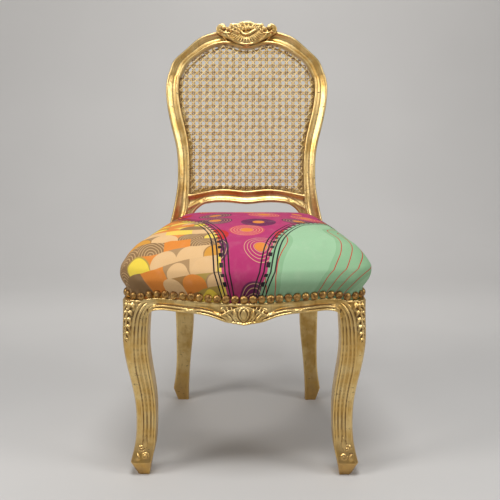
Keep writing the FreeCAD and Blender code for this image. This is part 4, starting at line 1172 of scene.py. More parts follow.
@dataclass
class ApronCarver(Carver):
    """Front rail: two beads along its lower edge, a ridge under the nails and a leaf in its middle."""

    knot_x: float = 0.103
    bead_radius: float = 0.0021
    reach: float = 0.177
    ridge_radius: float = 0.0024
    ridge_drop: float = 0.0098
    nails: Sequence[Vector] = ()

    def _edge_z(self, skin: Skin, x: float) -> float:
        """Level of the rail's lower edge at a place across it."""
        met = skin.meet(Vector((x, self._front_y(skin, x) + 0.006, 0.25)), Vector((0.0, 0.0, 1.0)))
        return met[0].z if met else 0.35

    @staticmethod
    def _front_y(skin: Skin, x: float) -> float:
        """Depth of the rail's front face at a place across it."""
        met = skin.from_front(x, 0.362)
        return met[0].y if met else -0.24

    def _along(self, skin: Skin, start: float, end: float, lift: Callable[[float], float], radius: float,
               proud: float = 0.0) -> list[Thing]:
        """Carve a bead that follows the lower edge.

        Args:
            skin: the blank's surface.
            start: where it starts, across the rail.
            end: where it ends.
            lift: its height above the edge at each place.
            radius: its radius.
            proud: how far its middle stands off the surface.

        Returns:
            The bead.
        """
        points = []
        steps = max(6, int(abs(end - start) / 0.008))
        for step in range(steps + 1):
            x = start + (end - start) * step / steps
            met = skin.from_front(x, self._edge_z(skin, x) + lift(x))
            if met:
                points.append(met[0] + Vector((0.0, -proud, 0.0)))
        if len(points) < 4:
            return []
        return [bead(points, [radius * 0.6] + [radius] * (len(points) - 2) + [radius * 0.6], 3)]

    def carve(self, skin: Skin) -> list[Thing]:
        """Carve the beads, the knots and the leaf.

        Args:
            skin: the blank's surface.

        Returns:
            The carved parts.
        """
        def low_lift(x: float) -> float:
            """Rise of the lower bead, which lifts to the knot."""
            return 0.0021 + 0.0026 * math.exp(-((abs(x) - self.knot_x) / 0.006) ** 2)

        def high_lift(x: float) -> float:
            """Rise of the upper bead, which dips to the knot."""
            return 0.0086 - 0.0032 * math.exp(-((abs(x) - self.knot_x) / 0.009) ** 2)

        parts = []
        for side in (-1, 1):
            parts += self._along(skin, side * self.reach, 0.0, low_lift, self.bead_radius, 0.0006)
            parts += self._along(skin, side * self.reach, side * 0.044, high_lift, self.bead_radius, 0.0010)
            parts += self._along(skin, side * 0.150, side * 0.046, lambda x: 0.0152, 0.0009)
            met = skin.from_front(side * self.knot_x, self._edge_z(skin, self.knot_x) + 0.0052)
            if met:
                parts.append(knob(met[0] + Vector((0.0, -0.001, 0.0)), (0.0078, 0.0036, 0.0040)))
        return parts + self._ridge(skin) + self._leaf(skin)

    def _ridge(self, skin: Skin) -> list[Thing]:
        """Carve the ridge that the nails stand on, and the wood between it and the moulding.

        Args:
            skin: the blank's surface.

        Returns:
            The carved parts.
        """
        row = sorted((nail.x, nail.z) for nail in self.nails if nail.y < -0.18)
        xs, zs = zip(*row)
        parts = []
        for share in (0.0, 0.5, 1.0):
            points = []
            for x in np.linspace(-0.212, 0.212, 57):
                high = float(np.interp(x, xs, zs)) - self.ridge_drop
                z = high + (min(high, 0.3655) - high) * share
                met = skin.from_front(float(x), high)
                if met:
                    points.append(Vector((float(x), met[0].y - 0.0010, z)))
            parts.append(bead(points, [self.ridge_radius] * len(points), 3))
        return parts

    def _leaf(self, skin: Skin) -> list[Thing]:
        """Carve the tulip, its leaves and the rope bead below it.

        Args:
            skin: the blank's surface.

        Returns:
            The carved parts.
        """
        parts: list[Thing] = []

        def on(x: float, z: float) -> tuple[Vector, Vector]:
            """Place and facing on the rail's front."""
            met = skin.from_front(x, z)
            return met if met else (Vector((x, -0.272, z)), Vector((0.0, -1.0, 0.0)))

        def blade(x0: float, z0: float, x1: float, z1: float, width: float, rise: float, point: float = 0.5) -> None:
            """Lay one petal from a root to a tip."""
            root, normal = on(x0, z0)
            parts.append(petal(root, on(x1, z1)[0], normal, width, rise, point))

        def vein(line: Line, radius: float) -> None:
            """Lay one thin bead through places."""
            places = [on(x, z)[0] + Vector((0.0, -0.0014, 0.0)) for x, z in line]
            parts.append(bead(places, [radius * 0.7] + [radius] * (len(places) - 2) + [radius * 0.6], 3))

        blade(0.0, 0.3370, 0.0, 0.3585, 0.0062, 0.0026, 0.55)
        for side in (-1, 1):
            vein(((0.0, 0.3350), (side * 0.0080, 0.3410), (side * 0.0108, 0.3500), (side * 0.0080, 0.3575),
                  (0.0, 0.3622)), 0.0013)
            blade(side * 0.0150, 0.3405, side * 0.0195, 0.3590, 0.0038, 0.0036)
            vein(((side * 0.0108, 0.3370), (side * 0.0150, 0.3450), (side * 0.0195, 0.3540), (side * 0.0245, 0.3608)),
                 0.0014)
            vein(((side * 0.0150, 0.3360), (side * 0.0215, 0.3440), (side * 0.0285, 0.3540), (side * 0.0325, 0.3608)),
                 0.0014)
            blade(side * 0.0225, 0.3370, side * 0.0385, 0.3560, 0.0036, 0.0036)
            met = on(side * 0.0400, 0.3560)
            parts.append(scroll(met[0], Vector((1.0, 0.0, 0.0)), Vector((0.0, 0.0, 1.0)), 0.0052, 1.25, 0.0014, -side))
            vein(((side * 0.0265, 0.3375), (side * 0.0355, 0.3440), (side * 0.0460, 0.3485), (side * 0.0580, 0.3520)),
                 0.0015)
        for step in range(-8, 9):
            x = step * 0.0050
            parts.append(knob(on(x, self._edge_z(skin, x) + 0.0022)[0], (0.0026, 0.0028, 0.0024)))
        return parts


@dataclass
class BackCarver(Carver):
    """Fine lines round the back's moulding, and a bracket under each end of the cross rail."""

    eye_height: float = 0.70
    line_shares: tuple[tuple[float, float], ...] = ((0.30, 0.0008), (0.60, 0.0008), (0.70, 0.0007))
    bracket: tuple[tuple[tuple[float, float, float], ...], ...] = (
        ((0.088, 0.5090, 0.0030), (0.1005, 0.5065, 0.0038), (0.1120, 0.5000, 0.0042), (0.1225, 0.4915, 0.0044),
         (0.1300, 0.4820, 0.0046), (0.1350, 0.4700, 0.0046), (0.1375, 0.4560, 0.0040)),
        ((0.104, 0.5110, 0.0030), (0.1175, 0.5035, 0.0036), (0.1280, 0.4935, 0.0040), (0.1350, 0.4825, 0.0042),
         (0.1390, 0.4690, 0.0042), (0.1405, 0.4560, 0.0038)),
        ((0.100, 0.5150, 0.0020), (0.1155, 0.5095, 0.0026), (0.1285, 0.5000, 0.0028), (0.1370, 0.4880, 0.0028),
         (0.1415, 0.4740, 0.0026), (0.1440, 0.4600, 0.0022)),
    )

    def reach(self, skin: Skin, angle: float) -> tuple[float, float] | None:
        """Find the moulding's inner and outer edge in one direction from the eye of the back.

        Args:
            skin: the blank's surface.
            angle: the direction in the back's plane, from the right-hand side upwards.

        Returns:
            Distances from the eye to the inner and the outer edge.
        """
        way = Vector((math.cos(angle), 0.0, 0.0)) + BACK.up * math.sin(angle)
        eye = BACK.at(0.0, self.eye_height, 0.0045)
        inner = skin.meet(eye, way)
        outer = skin.meet(BACK.at(0.0, self.eye_height, 0.012) + way * 0.5, -way)
        if inner is None or outer is None:
            return None
        return (inner[0] - eye).length, (outer[0] - eye).length

    def _line(self, skin: Skin, share: float, radius: float, angles: np.ndarray) -> list[Thing]:
        """Carve one fine line round part of the moulding.

        Args:
            skin: the blank's surface.
            share: its place from the inner to the outer edge.
            radius: its radius.
            angles: directions from the eye.

        Returns:
            The line.
        """
        points = []
        for angle in angles:
            edges = self.reach(skin, float(angle))
            if edges is None:
                continue
            distance = edges[0] + (edges[1] - edges[0]) * share
            met = skin.from_back_front(distance * math.cos(angle),
                                       self.eye_height + distance * math.sin(angle) * math.cos(BACK.rake))
            if met:
                points.append(met[0])
        return [bead(points, [radius] * len(points), 2)] if len(points) > 5 else []

    def carve(self, skin: Skin) -> list[Thing]:
        """Carve the lines and the brackets.

        Args:
            skin: the blank's surface.

        Returns:
            The carved parts.
        """
        parts = []
        for share, radius in self.line_shares:
            right = np.radians(np.arange(-52.0, 71.0, 3.0))
            parts += self._line(skin, share, radius, right)
            parts += self._line(skin, share, radius, math.pi - right)
        for side in (-1, 1):
            for row in self.bracket:
                points = []
                for x, height, radius in row:
                    met = skin.from_back_front(side * x, height)
                    depth = 0.0035
                    if met:
                        depth = min(depth, (met[0] - BACK.at(side * x, height)).dot(BACK.inward))
                    points.append(BACK.at(side * x, height, depth + radius * 0.45))
                parts.append(bead(points, [radius for _, _, radius in row], 3))
        return parts


@dataclass
class CrestCarver(Carver):
    """Crest: a ribbed shell, a curling leaf over it and a scroll each side."""

    top_z: float = 0.9165
    shell_z: float = 0.9110
    shell_spread: float = 1.45
    rim_reach: float = 0.0345
    ribs: int = 17

    @staticmethod
    def _on(skin: Skin, x: float, height: float, lift: float = 0.0) -> Vector:
        """Point on the crest's front at a place and a level, lifted off the surface."""
        met = skin.from_back_front(x, height)
        place = met[0] if met else BACK.at(x, height, 0.002)
        return place - BACK.inward * lift

    def carve(self, skin: Skin) -> list[Thing]:
        """Carve the shell, the leaf and the scrolls.

        Args:
            skin: the blank's surface.

        Returns:
            The carved parts.
        """
        parts = []
        for number in range(self.ribs):
            share = number / (self.ribs - 1) * 2.0 - 1.0
            angle = math.radians(-90.0 + share * 76.0)
            reach = 0.0300 - 0.0030 * abs(share)
            points = []
            for step in range(5):
                along = 0.0105 + (reach - 0.0105) * step / 4.0
                level = self.shell_z + along * math.sin(angle)
                points.append(self._on(skin, along * math.cos(angle) * self.shell_spread, level, 0.0009))
            parts.append(bead(points, [0.0008, 0.0013, 0.0017, 0.0020, 0.0012], 2))
        rim = []
        for number in range(13):
            angle = math.radians(-90.0 + (number / 12.0 * 2.0 - 1.0) * 86.0)
            level = self.shell_z + self.rim_reach * math.sin(angle)
            rim.append(self._on(skin, self.rim_reach * math.cos(angle) * self.shell_spread, level, 0.0008))
        parts.append(bead(rim, [0.0012] + [0.0019] * 11 + [0.0012], 3))
        parts += self._leaf(skin)
        for side in (-1, 1):
            parts += self._scrolls(skin, side)
        return parts

    def _leaf(self, skin: Skin) -> list[Thing]:
        """Carve the curling leaf and the peak over the shell.

        Args:
            skin: the blank's surface.

        Returns:
            The carved parts.
        """
        top = self.top_z
        parts = []
        curl = ((0.028, -0.0050), (0.020, -0.0075), (0.011, -0.0130), (0.003, -0.0180), (-0.005, -0.0185),
                (-0.0110, -0.0145), (-0.0125, -0.0085))
        points = [self._on(skin, x, top + z, 0.0030) for x, z in curl]
        parts.append(bead(points, [0.0018, 0.0034, 0.0042, 0.0042, 0.0036, 0.0028, 0.0018], 4))
        blades = (
            (-0.002, -0.009, -0.006, 0.0105, 0.0046), (0.004, -0.007, 0.005, 0.0110, 0.0046),
            (-0.008, -0.009, -0.018, 0.0050, 0.0046), (0.010, -0.006, 0.017, 0.0060, 0.0044),
            (-0.013, -0.011, -0.030, 0.0010, 0.0044), (0.017, -0.006, 0.029, 0.0010, 0.0042),
            (-0.016, -0.015, -0.036, -0.0075, 0.0040), (-0.018, -0.004, -0.0235, 0.0095, 0.0040),
            (0.019, -0.004, 0.0225, 0.0095, 0.0040), (-0.028, -0.006, -0.0330, 0.0060, 0.0038),
            (0.028, -0.006, 0.0330, 0.0060, 0.0038))
        for x0, z0, x1, z1, width in blades:
            root = self._on(skin, x0, top + z0, 0.0018)
            tip = self._on(skin, x1, top + z1, 0.0016)
            parts.append(petal(root, tip, -BACK.inward, width, 0.0036))
        return parts

    def _scrolls(self, skin: Skin, side: int) -> list[Thing]:
        """Carve one side's leaf scrolls and their round end.

        Args:
            skin: the blank's surface.
            side: -1 for the left, 1 for the right.

        Returns:
            The carved parts.
        """
        top = self.top_z
        parts = []
        end = self._on(skin, side * 0.0545, top - 0.0010, 0.001)
        parts.append(knob(end, (0.0050, 0.0050, 0.0050)))
        across = Vector((float(side), 0.0, 0.0))
        parts.append(scroll(end - BACK.inward * 0.003, across, BACK.up, 0.0070, 1.2, 0.0019, 1))
        for x0, z0, x1, z1, width in ((0.049, -0.006, 0.036, -0.001, 0.0040), (0.056, -0.009, 0.066, -0.014, 0.0038),
                                      (0.040, -0.010, 0.030, -0.005, 0.0036)):
            root = self._on(skin, side * x0, top + z0, 0.0012)
            tip = self._on(skin, side * x1, top + z1, 0.0010)
            parts.append(petal(root, tip, -BACK.inward, width, 0.0032))
        for line in (((0.064, -0.0085), (0.055, -0.0135), (0.046, -0.0150), (0.038, -0.0135)),
                     ((0.058, -0.0160), (0.054, -0.0240), (0.047, -0.0300))):
            points = [self._on(skin, side * x, top + z, 0.0010) for x, z in line]
            parts.append(bead(points, [0.0014] + [0.0022] * (len(points) - 2) + [0.0012], 3))
        return parts


@dataclass
class Member:
    """One node of a gilded group: its voxel size and the region that is its own."""

    node: str
    voxel: float
    own: Callable[[np.ndarray], np.ndarray] | None = None


@dataclass
class GildedGroup:
    """Frame pieces whose joints lie under one skin of gesso and leaf, so that the carving runs across them.

    Each member is finished as part of the whole group and then parted from it at its joint, so that
    the two sides of a joint meet flush.
    """

    members: Sequence[Member]
    carvers: Sequence[Carver] = ()
    joints: Sequence[tuple[Vector, Vector]] = ()
    blends: Sequence[tuple[Vector, float]] = ()
    eases: Sequence[tuple[Vector, float, Vector]] = ()
    smoothing: int = 3

    def _blank(self) -> Thing:
        """Join the nodes' shapes with the ornament that is carved on them.

        Returns:
            The blank.
        """
        raw = join([copy_of(member.node, member.node + "_blank") for member in self.members], "blank")
        skin = Skin(raw)
        ornament = [part for carver in self.carvers for part in carver.carve(skin)]
        return join([raw, *ornament], "blank")

    def _relax(self, piece: Thing) -> None:
        """Smooth the skin, and more so where two members blend.

        Args:
            piece: the remeshed skin.
        """
        apply_modifier(piece, "SMOOTH", factor=0.5, iterations=self.smoothing)
        places = places_of(piece)
        for centre, radius, move in self.eases:
            off = np.linalg.norm(places - np.array(centre), axis=1) / radius
            places = places + np.exp(-off ** 2)[:, None] * np.array(move)
        move_points(piece, places)
        if not self.blends:
            return
        near = piece.vertex_groups.new(name="blend")
        weight = np.zeros(len(places))
        for centre, radius in self.blends:
            off = np.linalg.norm(places - np.array(centre), axis=1) / radius
            weight = np.maximum(weight, np.clip(1.4 - 1.4 * off, 0.0, 1.0))
        for index in np.nonzero(weight > 0.02)[0]:
            near.add([int(index)], float(weight[index]), "REPLACE")
        apply_modifier(piece, "SMOOTH", factor=0.5, iterations=14, vertex_group="blend")
        piece.vertex_groups.clear()

    def _part(self, piece: Thing, member: Member) -> None:
        """Part a member from the skin at its joints and close it there.

        Args:
            piece: the whole skin, which becomes the member.
            member: the member.
        """
        shell = bmesh.new()
        shell.from_mesh(piece.data)
        for place, normal in self.joints:
            everything = [*shell.verts, *shell.edges, *shell.faces]
            bmesh.ops.bisect_plane(shell, geom=everything, plane_co=place, plane_no=normal, dist=1e-6)
        faces = list(shell.faces)
        centres = np.array([face.calc_center_median() for face in faces])
        own = member.own(centres)
        bmesh.ops.delete(shell, geom=[face for face, keep in zip(faces, own) if not keep], context="FACES")
        rims = [edge for edge in shell.edges if edge.is_boundary]
        bmesh.ops.holes_fill(shell, edges=rims, sides=0)
        shell.to_mesh(piece.data)
        shell.free()

    def build(self, finishes: Finishes) -> None:
        """Carve, blend, smooth, part and gild the group.

        Args:
            finishes: the chair's finishes.
        """
        blank = self._blank()
        skins: dict[float, Thing] = {}
        for member in self.members:
            if member.voxel not in skins:
                skin = blank.copy()
                skin.data = blank.data.copy()
                bpy.context.scene.collection.objects.link(skin)
                skin.data.remesh_voxel_size = member.voxel * 1.0
                skin.data.use_remesh_preserve_volume = False
                pick(skin)
                bpy.ops.object.voxel_remesh()
                self._relax(skin)
                mark_wear_and_shade(skin)
                skins[member.voxel] = skin
            source = skins[member.voxel]
            piece = bpy.data.objects.new(member.node + "_gilt", source.data.copy())
            bpy.context.scene.collection.objects.link(piece)
            if member.own is not None:
                self._part(piece, member)
            smooth_shade(piece)
            dress(piece, finishes.gold, "gilded_beech", member.node)
        for skin in (*skins.values(), blank):
            bpy.data.objects.remove(skin)


class CarvedFrame:
    """All gilded wood of the chair."""

    leg_inner_x: float = 0.1764
    cross_shoulder_x: float = 0.139

    def __init__(self, nails: Sequence[Vector]) -> None:
        """List the groups, their joints and who owns which side of them.

        Args:
            nails: places of the nails, which the front rail's ridge follows.
        """
        right = Vector((1.0, 0.0, 0.0))
        inner = BACK.at(0.1595, 0.8000)
        outer = BACK.at(0.1880, 0.8078)
        slope = (outer - inner).normalized()
        crest_up = slope.cross(BACK.inward).normalized()
        if crest_up.z < 0.0:
            crest_up.negate()
        crest_left = Vector((-crest_up.x, crest_up.y, crest_up.z))
        inner_left = Vector((-inner.x, inner.y, inner.z))

        def over(places: np.ndarray) -> np.ndarray:
            """Tell which places belong to the crest."""
            high_right = (places - np.array(inner)) @ np.array(crest_up) > 0.0
            high_left = (places - np.array(inner_left)) @ np.array(crest_left) > 0.0
            return np.where(places[:, 0] > 0.0, high_right, high_left)

        def between(places: np.ndarray) -> np.ndarray:
            """Tell which places belong to the cross rail."""
            level = (places[:, 2] > 0.455) & (places[:, 2] < 0.62)
            return level & (np.abs(places[:, 0]) < self.cross_shoulder_x)

        def post(side: int) -> Callable[[np.ndarray], np.ndarray]:
            """Return the test for one post's places."""
            return lambda places: (places[:, 0] * side > 0.0) & ~over(places) & ~between(places)

        def leg(side: int) -> Callable[[np.ndarray], np.ndarray]:
            """Return the test for one front leg's places."""
            return lambda places: places[:, 0] * side > self.leg_inner_x

        def rail(places: np.ndarray) -> np.ndarray:
            """Tell which places belong to the front rail."""
            return np.abs(places[:, 0]) <= self.leg_inner_x

        self.groups = [
            GildedGroup(
                (Member("front_leg_left", 0.00102, leg(-1)), Member("front_leg_right", 0.00102, leg(1)),
                 Member("front_rail", 0.00102, rail)),
                (LegCarver("front_leg_left", -1), LegCarver("front_leg_right", 1), ApronCarver(nails=nails)),
                ((right * -self.leg_inner_x, right), (right * self.leg_inner_x, right)),
                ((Vector((-0.178, -0.242, 0.355)), 0.017), (Vector((0.178, -0.242, 0.355)), 0.017),
                 (Vector((-0.203, -0.245, 0.012)), 0.034), (Vector((0.203, -0.245, 0.012)), 0.034))),
            GildedGroup(
                (Member("crest_rail", 0.00105, over), Member("rear_post_left", 0.0013, post(-1)),
                 Member("rear_post_right", 0.0013, post(1)), Member("cross_rail", 0.00105, between)),
                (BackCarver(), CrestCarver()),
                ((inner, crest_up), (inner_left, crest_left), (right * -self.cross_shoulder_x, right),
                 (right * self.cross_shoulder_x, right)),
                (),
                ((outer, 0.016, Vector((-0.0012, 0.0, -0.0006))),
                 (Vector((-outer.x, outer.y, outer.z)), 0.016, Vector((0.0012, 0.0, -0.0006))),
                 (BACK.at(0.172, 0.832), 0.026, Vector((0.0022, 0.0, 0.0018))),
                 (BACK.at(-0.172, 0.832), 0.026, Vector((-0.0036, 0.0, 0.0028))),
                 (BACK.at(0.110, 0.888), 0.032, Vector((0.0014, 0.0, 0.0038))),
                 (BACK.at(-0.110, 0.888), 0.032, Vector((-0.0014, 0.0, 0.0040))),
                 *((BACK.at(x, height, depth), 0.0055, Vector((0.0, 0.0, -0.0040)))
                   for depth in (0.002, 0.011, 0.020)
                   for x, height in ((-0.0125, 0.9255), (0.0125, 0.9255), (-0.0270, 0.9225), (0.0270, 0.9225),
                                     (-0.0385, 0.9190), (0.0385, 0.9190))))),
            GildedGroup((Member("side_rail_left", 0.0016),)),
            GildedGroup((Member("side_rail_right", 0.0016),)),
            GildedGroup((Member("back_rail", 0.0016),)),
        ]

    def build(self, finishes: Finishes) -> None:
        """Build each group in turn."""
        for group in self.groups:
            group.build(finishes)


# Woven cane

@dataclass
class CaneWork:
    """Six-way woven cane: two uprights, two crosswise strands and two slanting ones in each cell."""

    pitch: float = 0.0159
    strand: float = 0.0023
    thickness: float = 0.0010
    pair_gap: float = 0.0021
    depth: float = 0.0067
    eye_height: float = 0.70
    edge_inset: float = 0.0014
    steps_per_cell: int = 8
    border_knot_shade_reach: float = 0.016
    straight_shade: float = 0.48
    # the third number of each section point is painted shade on the strand's sides
    section: tuple[tuple[float, float, float], ...] = (
        (-1.0, -0.25, 1.0), (-0.55, 0.40, 0.30), (0.0, 0.55, 0.0), (0.55, 0.40, 0.30), (1.0, -0.25, 1.0))
    points: list[Vector] = field(default_factory=list)
    faces: list[tuple[int, ...]] = field(default_factory=list)
    shades: list[float] = field(default_factory=list)

    def _outline(self) -> tuple[np.ndarray, np.ndarray]:
        """Measure the frame's opening round the eye of the back.

        Returns:
            Directions from the eye, and the distance to the moulding in each.
        """
        nodes = ("crest_rail", "rear_post_left", "rear_post_right", "cross_rail")
        wood = join([copy_of(node, node + "_edge") for node in nodes], "edge")
        skin = Skin(wood)
        bpy.data.objects.remove(wood)
        carver = BackCarver(eye_height=self.eye_height)
        angles = np.radians(np.arange(-180.0, 180.0, 2.0))
        reaches = [carver.reach(skin, float(angle)) for angle in angles]
        return angles, np.array([edges[0] if edges else 0.15 for edges in reaches]) - self.edge_inset

    def _inside(self, xs: np.ndarray, zs: np.ndarray, outline: tuple[np.ndarray, np.ndarray]) -> np.ndarray:
        """Tell which places lie inside the opening.

        Args:
            xs: places across.
            zs: levels.
            outline: the opening's edge.

        Returns:
            True for each place inside.
        """
        up = (zs - self.eye_height) / math.cos(BACK.rake)
        angles = np.arctan2(up, xs)
        return np.hypot(xs, up) < np.interp(angles, outline[0], outline[1], period=math.tau)

    def _runs(self) -> list[tuple[np.ndarray, np.ndarray, np.ndarray, tuple[float, float]]]:
        """List the strands before they are cut to the opening.

        Returns:
            For each: places across, levels, height in front of the panel's middle, sideways direction.
        """
        rng = random.Random(11)
        runs = []
        reach = 0.21
        count = int(2 * reach / self.pitch * self.steps_per_cell)
        along = np.linspace(-reach, reach, count + 1)
        turn = math.tau / self.pitch
        for line in range(-12, 13):
            for pair in (-1, 1):
                for upright in (True, False):
                    side = line * self.pitch + pair * self.pair_gap + rng.uniform(-0.0003, 0.0003)
                    side = side + 0.00028 * np.sin(along * rng.uniform(25.0, 45.0) + line * 1.3)
                    phase = 0.0 if upright == (pair > 0) else math.pi
                    front = (-0.00025 if upright else 0.00025) + 0.00065 * np.sin(along * turn + phase)
                    if upright:
                        runs.append((side, self.eye_height + along, front, (1.0, 0.0)))
                    else:
                        runs.append((along, self.eye_height + side, front, (0.0, 1.0)))
        root = math.sqrt(0.5)
        for hand in (-1, 1):
            for number in range(-27, 27):
                offset = (number + 0.5) * self.pitch + 0.0003 * np.sin(along * rng.uniform(25.0, 45.0) + number)
                xs = along * 1.3 + offset * 0.5
                zs = self.eye_height + hand * (along * 1.3 - offset * 0.5)
                phase = 0.0 if hand > 0 else math.pi
                front = 0.00085 + 0.0002 * hand + 0.00065 * np.cos(along * 1.3 * 2.0 * turn + phase)
                runs.append((xs, zs, front, (root, -hand * root)))
        return runs

    def _ribbon(self, xs: np.ndarray, zs: np.ndarray, fronts: np.ndarray, side: Vector,
                outline: tuple[np.ndarray, np.ndarray]) -> None:
        """Add one strand with closed ends.

        Args:
            xs: places across the back.
            zs: levels.
            fronts: how far in front of the panel's middle it lies.
            side: its sideways direction.
            outline: the opening's edge, near which the strands darken, partly where they turn into their holes and
                partly as painted shade.
        """
        first = len(self.points)
        size = len(self.section)
        up = (zs - self.eye_height) / math.cos(BACK.rake)
        angles = np.arctan2(up, xs)
        gaps = np.interp(angles, outline[0], outline[1], period=math.tau) - np.hypot(xs, up)
        # darker near the frame: partly strands turning into their holes, partly painted shade
        knots_and_shade = np.clip(1.0 - gaps / self.border_knot_shade_reach, 0.0, 1.0) * (0.55 + 0.45 * np.sin(angles * 150.0))
        straight = 0.0 if side.x and side.z else self.straight_shade
        for x, z, front, knot in zip(xs, zs, fronts, knots_and_shade):
            middle = BACK.at(float(x), float(z), self.depth - float(front))
            # painted shade where the strand dips under others, near the frame, and on every upright and crosswise
            # strand
            dip = min(1.0, max(0.0, (0.0009 - float(front)) / 0.0018)) + float(knot) + straight
            for sideways, out, edge in self.section:
                off = side * (sideways * self.strand / 2.0) - BACK.inward * (out * self.thickness)
                self.points.append(middle + off)
                self.shades.append(min(1.0, 0.62 * edge + 0.62 * dip))
        for index in range(len(xs) - 1):
            base = first + index * size
            for corner in range(size):
                after = (corner + 1) % size
                self.faces.append((base + corner, base + corner + size, base + after + size, base + after))
        last = first + (len(xs) - 1) * size
        self.faces.append(tuple(first + corner for corner in range(size)))
        self.faces.append(tuple(last + corner for corner in reversed(range(size))))

    def build(self, finishes: Finishes) -> None:
        """Weave the panel.

        Args:
            finishes: the chair's finishes.
        """
        outline = self._outline()
        for xs, zs, fronts, (side_x, side_z) in self._runs():
            xs, zs, fronts = np.broadcast_arrays(xs, zs, fronts)
            kept = np.flatnonzero(self._inside(xs, zs, outline))
            if len(kept) < 4:
                continue
            side = Vector((side_x, 0.0, 0.0)) + BACK.up * side_z
            for run in np.split(kept, np.flatnonzero(np.diff(kept) > 1) + 1):
                if len(run) > 3:
                    self._ribbon(xs[run], zs[run], fronts[run], side, outline)
        piece = new_mesh("cane_weave", self.points, self.faces)
        layer = piece.data.attributes.new("shade", "FLOAT", "POINT")
        layer.data.foreach_set("value", np.array(self.shades, dtype=np.float32))
        smooth_shade(piece, 50.0)
        dress(piece, finishes.cane, "gilded_cane", "cane_panel")


# The stuffed seat

@dataclass
class SeatPlan:
    """Outline of the seat seen from above."""

    front_half: float = 0.232
    back_half: float = 0.182
    front_end_y: float = -0.23771
    front_middle_y: float = -0.27071
    back_y: float = 0.21129
    corner: float = 0.044
    side_bow: float = 0.005
    crown_y: float = -0.02668
    back_bulge: float = 0.35

    def sides(self, count: int) -> list[np.ndarray]:
        """Divide the outline into front, right, back and left, each with the same number of steps.

        Args:
            count: steps on each side.

        Returns:
            Four arrays of places, each from its first corner up to but not at its last.
        """
        start_x = self.front_half - self.corner
        end_y = self.front_end_y + self.corner
        bow = self.front_end_y - self.front_middle_y
        radius = (start_x ** 2 + bow ** 2) / (2.0 * bow)
        centre_y = self.front_middle_y + radius
        front = []
        for step in range(41):
            x = -start_x + 2.0 * start_x * step / 40.0
            front.append((x, centre_y - math.sqrt(radius ** 2 - x ** 2)))
        corner = [(start_x + self.corner * math.sin(angle), end_y - self.corner * math.cos(angle))
                  for angle in np.linspace(0.0, math.pi / 2.0, 17)]
        corner[0] = front[-1]
        half = len(corner) // 2
        side = []
        for step in range(31):
            share = step / 30.0
            x = self.front_half + (self.back_half - self.front_half) * share
            x += self.side_bow * 4.0 * share * (1.0 - share)
            side.append((x, end_y + (self.back_y - end_y) * share))
        mirror = [(-x, y) for x, y in reversed(corner)]
        front_line = mirror[half:] + front[1:-1] + corner[:half + 1]
        right_line = corner[half:] + side[1:]
        back_line = [(self.back_half, self.back_y), (-self.back_half, self.back_y)]
        left_line = [(-x, y) for x, y in reversed(right_line)]
        return [self._even(line, count) for line in (front_line, right_line, back_line, left_line)]

    @staticmethod
    def _even(line: Line, count: int) -> np.ndarray:
        """Divide a line into even steps, leaving out its last point.

        Args:
            line: the line's points.
            count: how many steps.

        Returns:
            The places.
        """
        points = np.array(line)
        lengths = np.concatenate([[0.0], np.cumsum(np.linalg.norm(np.diff(points, axis=0), axis=1))])
        at = np.linspace(0.0, lengths[-1], count + 1)[:-1]
        return np.stack([np.interp(at, lengths, points[:, axis]) for axis in (0, 1)], axis=1)

    def placed(self, rim: np.ndarray, grow: float, scale: float, bulge: float) -> np.ndarray:
        """Move outline places outwards and draw them in towards the crown.

        Args:
            rim: outline places.
            grow: how far they move out all round.
            scale: how far they are drawn in.
            bulge: a further move outwards, less at the back.

        Returns:
            The moved places.
        """
        reach = (self.back_y - self.front_end_y) / 2.0
        stretch_x = scale * (self.front_half + grow + bulge) / self.front_half
        front = scale * (reach + grow + bulge) / reach
        back = scale * (reach + grow + bulge * self.back_bulge) / reach
        moved = rim.copy()
        moved[:, 0] *= stretch_x
        away = rim[:, 1] - self.crown_y
        moved[:, 1] = self.crown_y + away * np.where(away < 0.0, front, back)
        return moved


